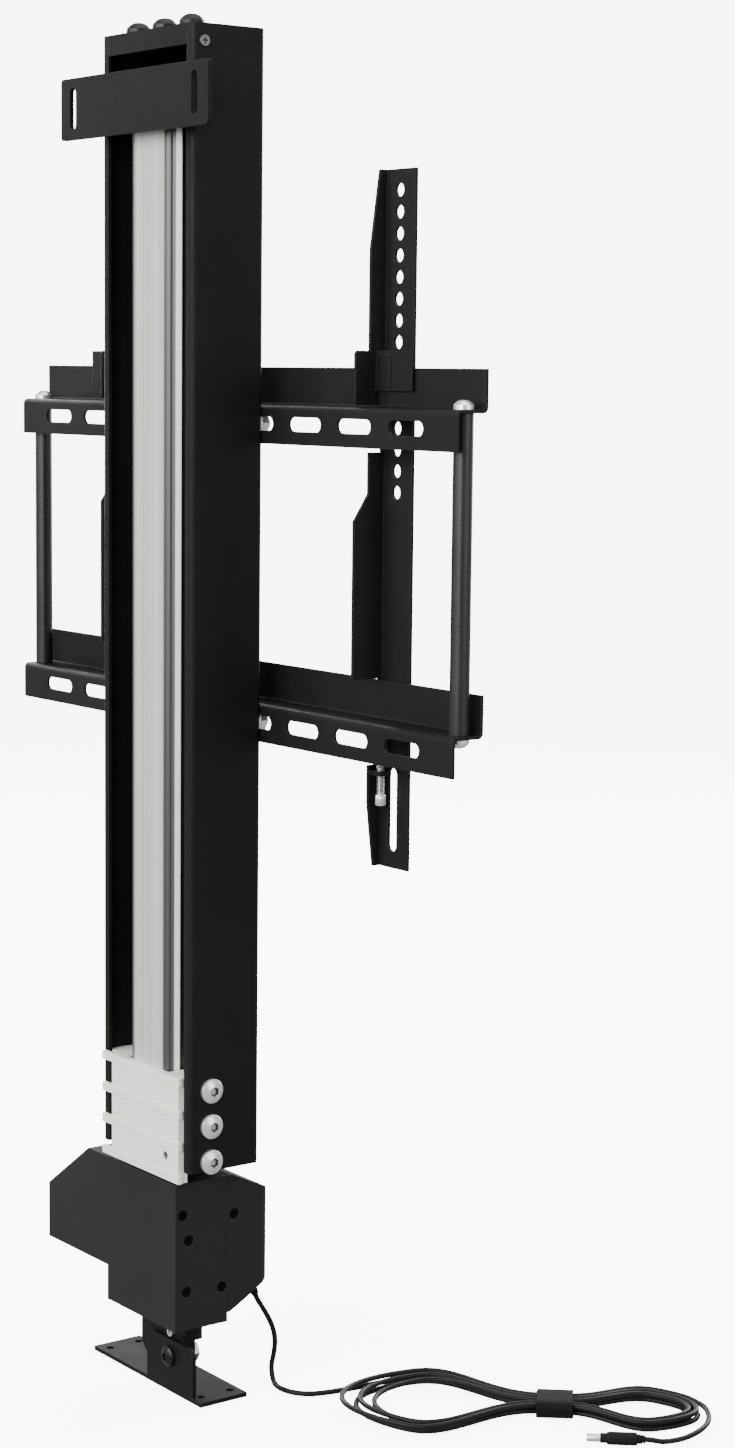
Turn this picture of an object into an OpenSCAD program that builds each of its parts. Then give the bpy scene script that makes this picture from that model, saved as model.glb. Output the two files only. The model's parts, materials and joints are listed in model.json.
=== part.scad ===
// Screw-driven lift for a flat television, lowered. A fixed column holds the lead screw, and a black
// channel with the television bracket rides up it. Millimetres, +Z up, +Y towards the television.
// The origin is on the floor, under the lead screw's axis.

/* [Channel] */
// Width of the moving channel, across its side walls
channel_w = 107; // [100:1:116]
// Depth of the moving channel, rear lips to front wall
channel_d = 53.5; // [50:0.5:56]
// Sheet thickness of the channel
channel_wall = 2.5; // [2:0.1:3]
// Width of the lips that turn in at the channel's rear
channel_lip = 7.5; // [5:0.5:9]
// Outer bend radius of the channel
channel_r = 3.2; // [3.1:0.1:6]
// Length of the channel
channel_h = 726; // [700:1:760]
// Height of the channel's lower end above the floor
channel_z = 165; // [162:1:172]
// Thickness of the cap in the channel's upper end
cap_t = 13; // [9:0.5:16]
// Distance between the bolts on the cap
cap_bolt_pitch = 31; // [22:1:34]

/* [Guide profile] */
// Width of the fixed aluminium profile
profile_w = 46; // [42:1:50]
// Depth of the profile, from its rear face to its open front
profile_d = 40; // [36:1:41]
// Wall behind the screw
profile_back = 4; // [3:0.5:5]
// Side wall thickness
profile_side = 5; // [4.5:0.5:6]
// Corner radius of the profile
profile_r = 4.5; // [3:0.5:4.5]
// Depth of the glide grooves in the profile's sides
groove_depth = 2.5; // [1.5:0.5:3]
// Width of the glide grooves
groove_w = 20; // [14:1:22]
// Length of the profile
profile_h = 705; // [690:1:712]

/* [Carriage] */
// How far the channel's lips stand behind the profile's rear face
channel_proud = 2; // [0:0.5:3]
// Travel of the carriage
stroke = 565; // [400:5:565]
// Height of the carriage block
block_h = 70; // [66:1:75]
// Gap between the lowered block and the gear housing
block_gap = 2; // [1.5:0.5:9]
// Reach of the block's rear plate from the centre, on the motor's side
plate_left = 38; // [36:0.5:44]
// Reach of the rear plate on the other side
plate_right = 43.5; // [40:0.5:44]
// How far the block stands out behind the channel
plate_proud = 3.5; // [3:0.5:5]
// Thickness of the ribs on the rear plate
rib_t = 5.5; // [4:0.5:7]
// Number of ribs
rib_count = 4; // [2:1:5]
// Distance from the centre to the tips of the long ribs, on the motor's side
rib_reach_long = 49; // [46:0.5:53]
// Distance from the centre to the tips of the short ribs
rib_reach_short = 45; // [44.5:0.5:50]
// How far the ribs stand out of the rear plate
rib_proud = 0.8; // [0.4:0.1:1]
// Thickness of the glide pads beside the profile
pad_side = 2.5; // [2:0.5:3.5]
// Distance between the block's bolts
block_bolt_pitch = 23.5; // [20:0.5:25]

/* [Drive] */
// Outer radius of the lead screw
screw_r = 7; // [6:0.5:8]
// Radius of the screw's plain journal in the gear housing
journal_r = 5; // [4:0.5:5.5]
// Radius of the drive nut
nut_r = 13; // [12:0.5:14]
// Height of the drive nut
nut_h = 30; // [24:1:40]
// Pitch radius of the worm wheel
wheel_r = 12; // [11:0.5:13]
// Face width of the worm wheel
wheel_t = 12; // [8:1:14]
// Number of teeth on the worm wheel
wheel_teeth = 24; // [18:1:30]
// Radius of the worm
worm_r = 3.4; // [3:0.1:3.6]
// Length of the worm
worm_l = 26; // [20:1:30]
// Radius of the motor's shaft
shaft_r = 2.5; // [2:0.25:2.75]
// Radius of the motor's can
motor_r = 16.5; // [14:0.5:17]
// Length of the motor's can
motor_l = 72; // [60:1:74]
// Distance between the screw and the motor's axis
drive_offset = 16.5; // [16:0.5:18]

/* [Gear housing] */
// Half width of the housing's body
housing_half_w = 40; // [38:1:44]
// Distance from the screw to the body's side under the motor's arm
body_left = 44; // [40:1:48]
// Height of the housing's top above the floor
housing_top = 155; // [150:1:158]
// Height of the housing's underside
housing_bottom = 56; // [54:0.5:60]
// Distance from the screw to the housing's rear face
housing_rear = 24.5; // [24:0.5:28]
// Distance from the screw to the housing's front face
housing_front = 50.5; // [46:0.5:54]
// Wall of the housing
housing_wall = 2.5; // [2:0.25:3.5]
// Distance from the screw to the end of the motor's arm
arm_end = 122; // [120:1:132]
// Distance from the screw to the top of the arm's slope
slope_end = 69; // [60:1:76]
// Height of the motor's axis above the floor
motor_z = 99; // [97:0.5:103]
// Height of the slope where the cover leans back at its top
cover_slope_top = 14; // [8:0.5:16]
// Height of the slope under the cover
cover_slope_bottom = 24.8; // [20:0.1:28]
// Height of the cover's lower edge above the housing's underside
cover_rise = 6; // [0:0.5:8]
// Radius of the cover's upright front edges
cover_r = 8; // [4:0.5:9]

/* [Foot] */
// Length of the foot plate on the motor's side of the pin
foot_left = 97; // [80:1:110]
// Length of the foot plate on the other side
foot_right = 38; // [32:1:44]
// Depth of the foot plate
foot_d = 37; // [32:1:44]
// Sheet thickness of the foot
foot_t = 3; // [2.5:0.5:4]
// Half width of the upright tab
tab_half_w = 28; // [22:1:30]
// Height of the upright tab
tab_h = 36; // [34:0.5:38]
// Height of the pin's axis
pin_z = 24.5; // [22:0.5:26]
// Radius of the pin
pin_r = 4; // [3:0.5:5]
// Radius of the foot's screw holes
foot_hole_r = 2.75; // [2:0.25:3.5]

/* [Cabinet strip] */
// Length of the strip that is screwed to the cabinet
strip_l = 172.5; // [150:0.5:190]
// Distance of the strip's middle from the profile's middle
strip_x = 4.5; // [-6:0.5:6]
// Height of the strip
strip_h = 39; // [34:1:44]
// Thickness of the strip
strip_t = 3; // [2:0.5:4]
// Distance from the profile's rear face to the strip
strip_gap = 13; // [10:0.5:16]
// Height of the strip's lower edge above the floor
strip_z = 826; // [824:1:834]
// Distance of the slots from the strip's middle
strip_slot_x = 71.6; // [60:0.1:76]
// Width of the slots
strip_slot_w = 7.5; // [5:0.5:9]
// Length of the slots
strip_slot_l = 27; // [18:1:30]

/* [Television bracket] */
// Length of the two rails
rail_l = 502; // [460:2:560]
// Sheet thickness of the rails
rail_t = 2; // [1.5:0.25:2.5]
// Depth of a rail, flange to lip
rail_d = 23; // [22:0.5:30]
// Height of a rail's flange, to the top of its shelf
flange_h = 24.5; // [22:0.5:27]
// Height of a rail, flange to the top of its lip
rail_h = 48.3; // [44:0.1:54]
// Height of the upper rail's lower edge above the floor
upper_rail_z = 633.6; // [620:0.1:645]
// Height of the lower rail's lower edge above the floor
lower_rail_z = 442.6; // [438:0.1:455]
// Distance between the slots in a rail
rail_slot_pitch = 51.5; // [44:0.5:54]
// Distance of the first slot from the middle
rail_slot_first = 47; // [44:0.5:50]
// Length of a slot in a rail
rail_slot_l = 34.5; // [28:0.5:38]
// Width of a slot in a rail
rail_slot_w = 9; // [7:0.5:10]
// Radius of the tubes between the rails
tube_r = 6; // [5:0.5:7]
// Distance of the tubes from a rail's end
tube_inset = 8.5; // [8:0.5:14]

/* [Arms] */
// Width of an arm's face
arm_w = 30; // [26:0.5:34]
// Sheet thickness of an arm
arm_t = 2; // [1.5:0.25:2.5]
// Height of an arm's top above the floor
arm_top = 801; // [790:1:812]
// Depth of an arm's side
arm_side = 13.5; // [12:0.5:16]
// Depth of an arm's side at its hook and between the rails
arm_deep = 24.3; // [22:0.1:25]
// Distance of the right arm from the middle of the rails
right_arm_x = 145.5; // [100:0.5:170]
// Distance of the left arm from the middle of the rails
left_arm_x = 148; // [100:0.5:170]
// Distance of the holes from an arm's side
arm_hole_x = 14.5; // [12:0.5:17]
// Distance of the first hole from the arm's top
arm_hole_first = 12.5; // [9:0.5:16]
// Distance between the holes
arm_hole_pitch = 13; // [11:0.25:13]
// Number of holes
arm_hole_count = 15; // [8:1:15]
// Radius of the holes, and half the width of the slot
arm_hole_r = 4.25; // [3:0.25:4.5]
// Length of the slot near the arm's lower end
arm_slot_l = 52.5; // [30:0.5:54]
// Distance from the top hole to the slot's lower hole centre
arm_reach = 400; // [395:1:404]
// Distance from the slot's lower hole centre to the arm's lower end
arm_tail = 14.5; // [10:0.5:20]

/* [Cable] */
// Diameter of the cable
cable_d = 3.6; // [3:0.1:3.6]
// Turns of the cable in each layer of the hank
hank_turns = 2; // [1:1:2]

/* [Hidden] */

$fn = 48;
// Clearances: parts that slide, shafts that turn, screws in holes, and a cut past a face
slide_gap = 0.4;
pad_gap = 0.2;
run_gap = 0.05;
seat_gap = 0.05;
cut = 1;

black = [0.08, 0.08, 0.085];
dark_plastic = [0.17, 0.17, 0.18];
silver = [0.80, 0.80, 0.79];
zinc = [0.72, 0.73, 0.74];

// Planes of the column
profile_rear_y = -profile_d / 2;
rear_y = profile_rear_y - channel_proud;
front_y = rear_y + channel_d;
inner_w = channel_w - 2 * channel_wall;
inner_rear_y = rear_y + channel_wall;
inner_front_y = front_y - channel_wall;
channel_top = channel_z + channel_h;
profile_z = housing_top;
profile_top = profile_z + profile_h;
cavity_half_w = profile_w / 2 - profile_side;
cavity_rear_y = profile_rear_y + profile_back;
groove_y0 = -groove_w / 2;
// The block's opening round the profile
block_z = housing_top + block_gap;
block_top = block_z + block_h;
block_body_z = max(block_z, channel_z);
opening_half_w = profile_w / 2 + pad_side;
opening_front_y = profile_rear_y + profile_d + 0.5;
block_bolt_in = 16;
block_bolt_rise = 3;
block_bolt_y = rear_y + block_bolt_in;
block_bolt_z = block_z + block_h / 2 + block_bolt_rise;
// Button-head bolts on the channel, and their shanks
big_head_r = 8;
big_head_h = 5;
cap_head_h = 8;
big_shank_r = 4;
// The nut and what joins it to the block
nut_z = block_z + (block_h - nut_h) / 2;
nut_screw_pitch = 12;
// The top guide clears the raised block and the rail bolts that pass it
guide_top = profile_top;
guide_l = 30;
guide_z = max(block_top + stroke + 8, guide_top - guide_l);
rail_bolt_x = 40;
rail_head_r = 7;
rail_head_h = 4.5;
// Gear housing: worm and wheel share the motor's height
worm_end_x = 14;
worm_end_l = 16;
worm_end_h = 14;
arm_half_h = motor_r + 0.2 + housing_wall;
bearing_r = 11;
bearing_h = 9;
lower_bearing_z = housing_bottom + housing_wall;
upper_bearing_z = housing_top - housing_wall - bearing_h;
// Side screws of the two halves, in Y and Z
shell_screw_spots = [[-18.5, 134], [-14, 116.5], [-15.5, 82], [12, 80.5]];
cover_screw_spots = [[21.5, 128.5]];
housing_screw_r = 3.2;
housing_screw_fit = 0.5;
// Slope under the cover's front, which the cable's gland stands on
facet_d = 21;
facet_h = 12.6;
gland_x = housing_half_w - 8;
gland_l = 8;
gland_dir = [0, facet_h, -facet_d] / norm([facet_d, facet_h]);
gland_seat = [gland_x, housing_front - facet_d / 2, housing_bottom + cover_slope_bottom - facet_h / 2];
gland_tip = gland_seat + gland_l * gland_dir;
recess = 1.2;
// Fine groove along the joint between the housing's halves
seam = 0.6;
// Clevis under the housing, and the ear that the foot's pin goes through
lug_left = housing_half_w;
lug_right = 15;
lug_h = 14.5;
ear_r = 11;
ear_t = 10;
ear_y = 0.2;
lug_slope = 10;
// Tongue under the housing that the lug is screwed to, and the places of the two screws in X and Z
tongue_h = 20.5;
clevis_screw_r = 2;
clevis_screw_spots = [[-2, 40.2], [-30, 49.5]];
// Blind hole in the block's rear plate, from the centre and from the block's underside
plate_hole = [28.3, 15.6];
plate_hole_r = 2.8;
plate_hole_l = 7;
// Foot: the tab stands on the plate's rear edge
foot_y = -foot_t;
foot_hole_inset = 10;
foot_hole_margin = 7;
// Rails and arms
bend_r = 1.5;
rail_y = front_y;
lip_y = rail_y + rail_d - rail_t;
slot_rise = 12.8;
tube_x = rail_l / 2 - tube_inset;
tube_y = rail_y + rail_d / 2;
tube_head_r = 6.2;
tube_head_h = 6;
tube_screw_r = 2.5;
tube_screw_l = 14;
arm_rear_y = lip_y + rail_t + 2.5;
arm_front_y = arm_rear_y + arm_t;
arm_top_hole_z = arm_top - arm_hole_first;
arm_slot_z = arm_top_hole_z - arm_reach;
arm_bottom = arm_slot_z - arm_tail;
arm_l = arm_top - arm_bottom;
// Depth of an arm's side at its tips, and the lengths of its slopes there
arm_tip = 7;
arm_taper_l = 40;
lock_clear = 12;
arm_taper_low = min(arm_taper_l, lower_rail_z - lock_clear - arm_bottom);
arm_taper_high = 48;
// Deep part of an arm's side: its distance under the upper rail, and its slope
arm_deep_gap = 45;
arm_deep_slope = 16.5;
// Hook behind the upper rail's lip: its height over the lip, its width, and the bead pressed in it
hook_over = 10;
hook_w = arm_w + 8;
hook_down = 14;
hook_bead = [3.6, 1, 20];
lock_l = 19;
lock_head_r = 3.3;
lock_r = 2.5;
lock_tab_t = 2.5;

function strip_rear_y() = profile_rear_y - strip_gap - strip_t;
function strip_mid_z() = strip_z + strip_h / 2;

// Cable route: hand-chosen points from the gland's mouth along the floor to the hank, in millimetres.
// floor_z is the height of a cable's middle when it lies on the floor.
floor_z = cable_d / 2;
cable_route = [[32, 46.1, 63.2], [32, 51, 55.5], [32, 56, 47], [31, 60, 38.5], [30, 62, 30], [28, 62.5, 21.5],
    [25.6, 62.5, 13], [26.4, 62.1, 7], [30, 61, 3.1], [35.5, 59.3, floor_z], [44, 58.3, floor_z],
    [54, 61, floor_z], [62, 68, floor_z], [66, 78, floor_z], [68.5, 89, floor_z], [70.5, 102, floor_z]];
// Hank: its waist, its heading and its lobes, which lose a steady step each turn
hank_mid = [178, 184];
hank_heading = 49.3;
hank_start = 145;
hank_rings = 24;
hank_left_l = 142;
hank_left_w = 68;
hank_right_l = 96;
hank_right_w = 41;
hank_step_l = 12;
hank_step_w = 7;
hank_right_step = 5.2;
waist_step = 4.6;
waist_least = 0.4;
// The tie's band passes under the strands and lifts them at the waist
tie_wall = 1;
waist_lift = tie_wall + 0.3;
layer_step = cable_d + 0.8;
hank_total = 2 * hank_turns + 0.344;
// Distance from the waist at which a lobe is fully open, on the left and on the right
hank_open_left = 96;
hank_open_right = 66;
// Plug on the cable's end
plug_l = 34;
plug_r = 4.2;
// Tail after the last turn, in the hank's own axes, down to the floor and to the plug
tail_points = [[97.5, 6.5, 5.6], [100.5, -6, 4.8], [99, -19.5, 3.8], [92.5, -32, 2.8], [82, -43, 2],
    [70.5, -50, 2.4], [63, -52.3, 3.9], [59.5, -52.3, plug_r], [56, -52.3, plug_r]];
plug_back = [54.4, -52.3];

// Flat shapes

module rounded(w, d, r) {
    square([w - 2 * r, d], center = true);
    square([w, d - 2 * r], center = true);
    for (x = [-1, 1], y = [-1, 1])
        translate([x * (w / 2 - r), y * (d / 2 - r)]) circle(r);
}

// Round-ended slot lying along the first axis
module slot_flat(l, w) {
    square([l - w, w], center = true);
    for (x = [-1, 1])
        translate([x * (l - w) / 2, 0]) circle(w / 2);
}

// Quarter of a bent sheet, in the corner that lies towards (sx, sy) from its centre
module bend_flat(r, t, sx, sy) {
    intersection() {
        difference() {
            circle(r + t);
            circle(r);
        }
        translate([sx > 0 ? 0 : -(r + t), sy > 0 ? 0 : -(r + t)]) square(r + t);
    }
}

// Turns a flat shape's axes to Y and Z and draws it out along X
module along_x(l) {
    rotate([90, 0, 90]) linear_extrude(l) children();
}

// Stands a flat shape up in X and Z and draws it out along +Y
module along_y(l) {
    translate([0, l, 0]) rotate([90, 0, 0]) linear_extrude(l) children();
}

// Cylinders whose near end is at the origin
module rod_x(r, l) {
    rotate([0, 90, 0]) cylinder(r = r, h = l);
}

module rod_y(r, l) {
    rotate([-90, 0, 0]) cylinder(r = r, h = l);
}

// Button-head socket bolt standing on z = 0, shank down
module button_bolt(head_r, head_h, shank_r, shank_l) {
    rim = head_h * 0.45;
    difference() {
        union() {
            translate([0, 0, -shank_l]) cylinder(r = shank_r, h = shank_l + rim);
            rotate_extrude() intersection() {
                translate([0, 0]) square([head_r, head_h]);
                translate([0, rim - (pow(head_r, 2) - pow(head_h - rim, 2)) / (2 * (head_h - rim))])
                    circle((pow(head_r, 2) + pow(head_h - rim, 2)) / (2 * (head_h - rim)), $fn = 96);
            }
        }
        translate([0, 0, head_h - rim]) cylinder(r = head_r * 0.42, h = head_h, $fn = 6);
    }
}

// Cheese-head screw standing on z = 0 with a cross slot, shank down
module cheese_screw(head_r, head_h, shank_r, shank_l) {
    difference() {
        union() {
            translate([0, 0, -shank_l]) cylinder(r = shank_r, h = shank_l + head_h / 2);
            cylinder(r = head_r, h = head_h);
        }
        for (a = [0, 90])
            rotate(a) translate([-head_r * 0.6, -head_r * 0.12, head_h * 0.5])
                cube([head_r * 1.2, head_r * 0.24, head_h]);
    }
}

// Fixed column

module profile_flat() {
    difference() {
        rounded(profile_w, profile_d, profile_r);
        translate([-cavity_half_w, cavity_rear_y]) square([2 * cavity_half_w, profile_d]);
        for (s = [-1, 1])
            translate([s > 0 ? profile_w / 2 - groove_depth : -profile_w / 2 - cut, groove_y0])
                square([groove_depth + cut, groove_w]);
    }
}

// Places of the screws that hold the strip, in X and Z
function strip_screw_places() = [for (x = [-1, 1], z = [-1, 1])
    [x * (cavity_half_w - 5), strip_mid_z() - 5 + z * 7]];

module guide_profile() {
    color(silver) difference() {
        translate([0, 0, profile_z]) linear_extrude(profile_h) profile_flat();
        for (p = strip_screw_places())
            translate([p[0], profile_rear_y - cut, p[1]]) rod_y(2.2, profile_back + 2 * cut);
    }
}

// Plug in the profile's upper end, with the screw's upper bush
module profile_plug() {
    plug_h = 8;
    color(dark_plastic) difference() {
        union() {
            translate([0, 0, profile_top]) linear_extrude(3) intersection() {
                rounded(profile_w - 0.4, profile_d - 0.4, profile_r);
                translate([-profile_w, -profile_d]) square([2 * profile_w, 2 * profile_d]);
            }
            translate([-(cavity_half_w - seat_gap), cavity_rear_y + seat_gap, profile_top - plug_h])
                cube([2 * (cavity_half_w - seat_gap), profile_d - profile_back - 1, plug_h + 1]);
        }
        translate([0, 0, profile_top - plug_h - cut]) cylinder(r = journal_r + run_gap, h = plug_h + 5 + cut);
    }
}

// Plastic guide round the profile's top, which the channel slides on
module top_guide() {
    half_w = inner_w / 2 - slide_gap;
    nose_half_w = rail_bolt_x - rail_head_r - 3;
    guide_rear_y = inner_rear_y + slide_gap;
    guide_front_y = inner_front_y - rail_head_h - 1.2;
    color(black) translate([0, 0, guide_z]) linear_extrude(guide_top - guide_z) difference() {
        union() {
            translate([0, (guide_rear_y + guide_front_y) / 2])
                rounded(2 * half_w, guide_front_y - guide_rear_y, channel_r);
            translate([-nose_half_w, 0]) square([2 * nose_half_w, inner_front_y - slide_gap]);
        }
        translate([-profile_w / 2 - seat_gap, profile_rear_y - cut])
            square([profile_w + 2 * seat_gap, profile_d + cut + seat_gap]);
    }
}

module cabinet_strip() {
    color(black) translate([strip_x, strip_rear_y(), strip_mid_z()]) along_y(strip_t) difference() {
        rounded(strip_l, strip_h, 2.5);
        for (s = [-1, 1])
            translate([s * strip_slot_x, 0]) rotate(90) slot_flat(strip_slot_l, strip_slot_w);
    }
}

// Spacer between the strip and the profile, with threaded holes
module strip_spacer() {
    half_w = cavity_half_w - 1;
    spacer_h = strip_h - 6;
    color(black) difference() {
        translate([-half_w, profile_rear_y - strip_gap, strip_mid_z() - spacer_h / 2])
            cube([2 * half_w, strip_gap, spacer_h]);
        for (p = strip_screw_places())
            translate([p[0], profile_rear_y - strip_gap - cut, p[1]])
                rod_y(2 + seat_gap, strip_gap + 2 * cut);
    }
}

module strip_screws() {
    color(zinc) for (p = strip_screw_places())
        translate([p[0], cavity_rear_y + seat_gap, p[1]]) rotate([-90, 0, 0])
            cheese_screw(3.4, 2.4, 2, profile_back + strip_gap - 1);
}

// Outline of the gear housing in X and Z: the body and the motor's arm to its left
module housing_outline(inset) {
    k = inset * 0.55;
    polygon([[housing_half_w - inset, housing_bottom + inset], [housing_half_w - inset, housing_top - inset],
        [-slope_end + k, housing_top - inset], [-arm_end + inset, motor_z + arm_half_h - k],
        [-arm_end + inset, motor_z - arm_half_h + inset],
        [-body_left + inset, motor_z - arm_half_h + inset],
        [-body_left + inset, housing_bottom + inset]]);
}

// Side view of the housing's front cover in Y and Z, sloped at its top and bottom
module cover_side(inset) {
    low = housing_bottom + cover_rise + inset;
    polygon([[drive_offset - cut, low], [drive_offset - cut, housing_top - inset],
        [drive_offset + 4, housing_top - inset],
        [housing_front - inset, housing_top - cover_slope_top - inset],
        [housing_front - inset, housing_bottom + cover_slope_bottom + inset],
        [housing_front - facet_d, housing_bottom + cover_slope_bottom - facet_h + inset],
        [drive_offset + 1.5, low]]);
}

// The cover seen from above: the whole housing with rounded front edges
module cover_plan(inset) {
    translate([(housing_half_w - arm_end) / 2, 0]) linear_extrude(housing_top + cut)
        rounded(arm_end + housing_half_w - 2 * inset, 2 * (housing_front - inset), cover_r - inset);
}

// Space for the motor's can and its shaft, along X through both halves of the housing
module motor_space() {
    translate([-arm_end + housing_wall, drive_offset, motor_z]) rod_x(motor_r + seat_gap, motor_l + 1);
}

module gear_rear_shell() {
    depth = housing_rear + drive_offset;
    color(dark_plastic) difference() {
        union() {
            difference() {
                translate([0, -housing_rear, 0]) along_y(depth) housing_outline(0);
                translate([0, -housing_rear + housing_wall, 0]) along_y(depth) housing_outline(housing_wall);
            }
            // Sill under the cover, saddle under the motor, bearing seats and the shaft's end support
            translate([-body_left + 1, drive_offset - housing_wall, housing_bottom + 1])
                cube([body_left + housing_half_w - 2, housing_wall, cover_rise + housing_wall - 1]);
            translate([-arm_end + 1, -housing_rear + 1, motor_z - arm_half_h + 1])
                cube([motor_l + 2, depth - 1, 2 * arm_half_h - 2]);
            translate([-bearing_r - 4, -housing_rear + 1, housing_bottom + 1])
                cube([2 * bearing_r + 8, depth - 1 - 3, bearing_h + housing_wall - 1]);
            translate([-bearing_r - 4, -housing_rear + 1, upper_bearing_z])
                cube([2 * bearing_r + 8, depth - 1 - 3, bearing_h + housing_wall - 1]);
            translate([worm_end_x + 2, -housing_rear + 1, motor_z - worm_end_h / 2])
                cube([8, depth - 1, worm_end_h]);
            translate([-lug_left + 2, ear_y + ear_t + seat_gap, housing_bottom - tongue_h])
                cube([lug_left + lug_right - 7, drive_offset - ear_y - ear_t - seat_gap, tongue_h + 1]);
        }
        motor_space();
        translate([worm_end_x, drive_offset, motor_z]) rod_x(shaft_r + run_gap, worm_end_l);
        for (z = [lower_bearing_z, upper_bearing_z])
            translate([0, 0, z]) cylinder(r = bearing_r + seat_gap, h = bearing_h + seat_gap);
        translate([0, 0, lower_bearing_z]) cylinder(r = screw_r + 1, h = housing_top);
        for (p = shell_screw_spots)
            side_screw_space(p);
        for (p = clevis_screw_spots)
            translate([p[0], ear_y, p[1]]) rod_y(clevis_screw_r + seat_gap, drive_offset);
    }
}

// Recess and hole for a screw in the housing's side
module side_screw_space(p) {
    translate([housing_half_w - recess, p[0], p[1]]) rod_x(housing_screw_r + housing_screw_fit, recess + cut);
    translate([housing_half_w - housing_wall - cut, p[0], p[1]]) rod_x(1.5 + seat_gap, housing_wall + cut);
}

module gear_front_cover() {
    depth = housing_front - drive_offset;
    color(dark_plastic) difference() {
        intersection() {
            translate([0, drive_offset, 0]) along_y(depth) housing_outline(0);
            translate([-arm_end - cut, 0, 0]) along_x(arm_end + housing_half_w + 2 * cut) cover_side(0);
            cover_plan(0);
        }
        difference() {
            intersection() {
                translate([0, drive_offset - cut, 0]) along_y(depth) housing_outline(housing_wall);
                translate([-arm_end - cut, 0, 0]) along_x(arm_end + housing_half_w + 2 * cut)
                    cover_side(housing_wall);
                cover_plan(housing_wall);
            }
            translate([-arm_end + 1, drive_offset, motor_z - arm_half_h + 1])
                cube([motor_l + 2, motor_r + 3, 2 * arm_half_h - 2]);
        }
        motor_space();
        translate(gland_seat - 8 * gland_dir) aim(gland_dir) cylinder(r = 3.2 + seat_gap, h = 10);
        for (p = cover_screw_spots)
            side_screw_space(p);
        translate([0, drive_offset - cut, 0]) along_y(cut + seam) difference() {
            housing_outline(-cut);
            housing_outline(seam);
        }
    }
}

// Points +Z along a direction that lies in the Y-Z plane
module aim(dir) {
    rotate([atan2(-dir[1], dir[2]), 0, 0]) children();
}

module housing_screws() {
    color(black) for (p = concat(shell_screw_spots, cover_screw_spots))
        translate([housing_half_w - recess + seat_gap, p[0], p[1]]) rotate([0, 90, 0])
            cheese_screw(housing_screw_r, recess - 0.3, 1.5, housing_wall - recess + 0.4);
}

module motor_can() {
    color(zinc) difference() {
        union() {
            translate([-arm_end + housing_wall + seat_gap, drive_offset, motor_z]) rod_x(motor_r, motor_l);
            translate([-arm_end + housing_wall + motor_l, drive_offset, motor_z]) rod_x(6, 3);
        }
        translate([-arm_end + housing_wall + motor_l / 2, drive_offset, motor_z])
            rod_x(shaft_r + run_gap, motor_l);
    }
}

module ring_bearing(z) {
    color(zinc) translate([0, 0, z + seat_gap]) difference() {
        cylinder(r = bearing_r, h = bearing_h - seat_gap);
        translate([0, 0, -cut]) cylinder(r = journal_r + run_gap, h = bearing_h + 2 * cut);
    }
}

module screw_bearing_lower() {
    ring_bearing(lower_bearing_z);
}

module screw_bearing_upper() {
    ring_bearing(upper_bearing_z);
}

// Two end switches in the rear corner of the profile, above and below the nut's travel
module limit_switches() {
    switch = [6, 4.6, 20];
    color(black) for (z = [nut_z - switch[2] - 1, nut_z + nut_h + stroke + 4])
        translate([cavity_half_w - switch[0] - seat_gap, cavity_rear_y + seat_gap, z]) cube(switch);
}

// Lug under the housing with the ear that the foot's pin goes through
module clevis_lug() {
    lug_z = housing_bottom - lug_h;
    ear_z = pin_z - ear_r;
    color(dark_plastic) difference() {
        translate([0, ear_y, 0]) along_y(ear_t) union() {
            polygon([[-lug_left, housing_bottom], [-lug_left, pin_z - 1], [-lug_left + lug_slope, ear_z],
                [0, ear_z], [0, pin_z], [ear_r, pin_z], [ear_r, lug_z], [lug_right, lug_z],
                [lug_right, housing_bottom]]);
            translate([0, pin_z]) circle(ear_r);
        }
        translate([0, ear_y - cut, pin_z]) rod_y(pin_r + run_gap, ear_t + 2 * cut);
        for (p = clevis_screw_spots)
            translate([p[0], ear_y - cut, p[1]]) rod_y(clevis_screw_r + seat_gap, ear_t + 2 * cut);
    }
}

module clevis_screws() {
    color(zinc) for (p = clevis_screw_spots)
        translate([p[0], ear_y, p[1]]) rotate([90, 0, 0])
            cheese_screw(3, 2.2, clevis_screw_r, drive_offset - ear_y - 1);
}

// Cable: gland, free stretch, hank, tie and plug

module cable_gland() {
    color(black) difference() {
        translate(gland_seat) aim(gland_dir) union() {
            translate([0, 0, -5]) cylinder(r = 3.2, h = 6);
            translate([0, 0, seat_gap]) cylinder(r1 = 4.4, r2 = 2.8, h = gland_l - seat_gap);
        }
        translate(gland_seat - 6 * gland_dir) aim(gland_dir)
            cylinder(r = cable_d / 2 + seat_gap, h = gland_l + 7);
    }
}

function unit(v) = v / norm(v);

// Points between p1 and p2 on a smooth curve through four points
function spline(p0, p1, p2, p3, t) = 0.5 * ((2 * p1) + (p2 - p0) * t + (2 * p0 - 5 * p1 + 4 * p2 - p3) * t * t
    + (3 * p1 - p0 - 3 * p2 + p3) * t * t * t);

function at(list, i) = list[max(0, min(len(list) - 1, i))];

function smooth_route(list, steps) = concat([for (i = [0 : len(list) - 2], k = [0 : steps - 1])
    spline(at(list, i - 1), list[i], list[i + 1], at(list, i + 2), k / steps)], [list[len(list) - 1]]);

// Rings of a tube along a path, square to the path, with the first ring's side kept level
function ring_at(path, i, r, sides) = let (
    ahead = path[min(len(path) - 1, i + 1)] - path[max(0, i - 1)],
    dir = unit(ahead),
    side = abs(dir[2]) > 0.97 ? unit(cross(dir, [1, 0, 0])) : unit(cross(dir, [0, 0, 1])),
    up = cross(side, dir))
    [for (k = [0 : sides - 1]) path[i] + r * (cos(360 * k / sides + 180 / sides) * side
        + sin(360 * k / sides + 180 / sides) * up)];

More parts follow.
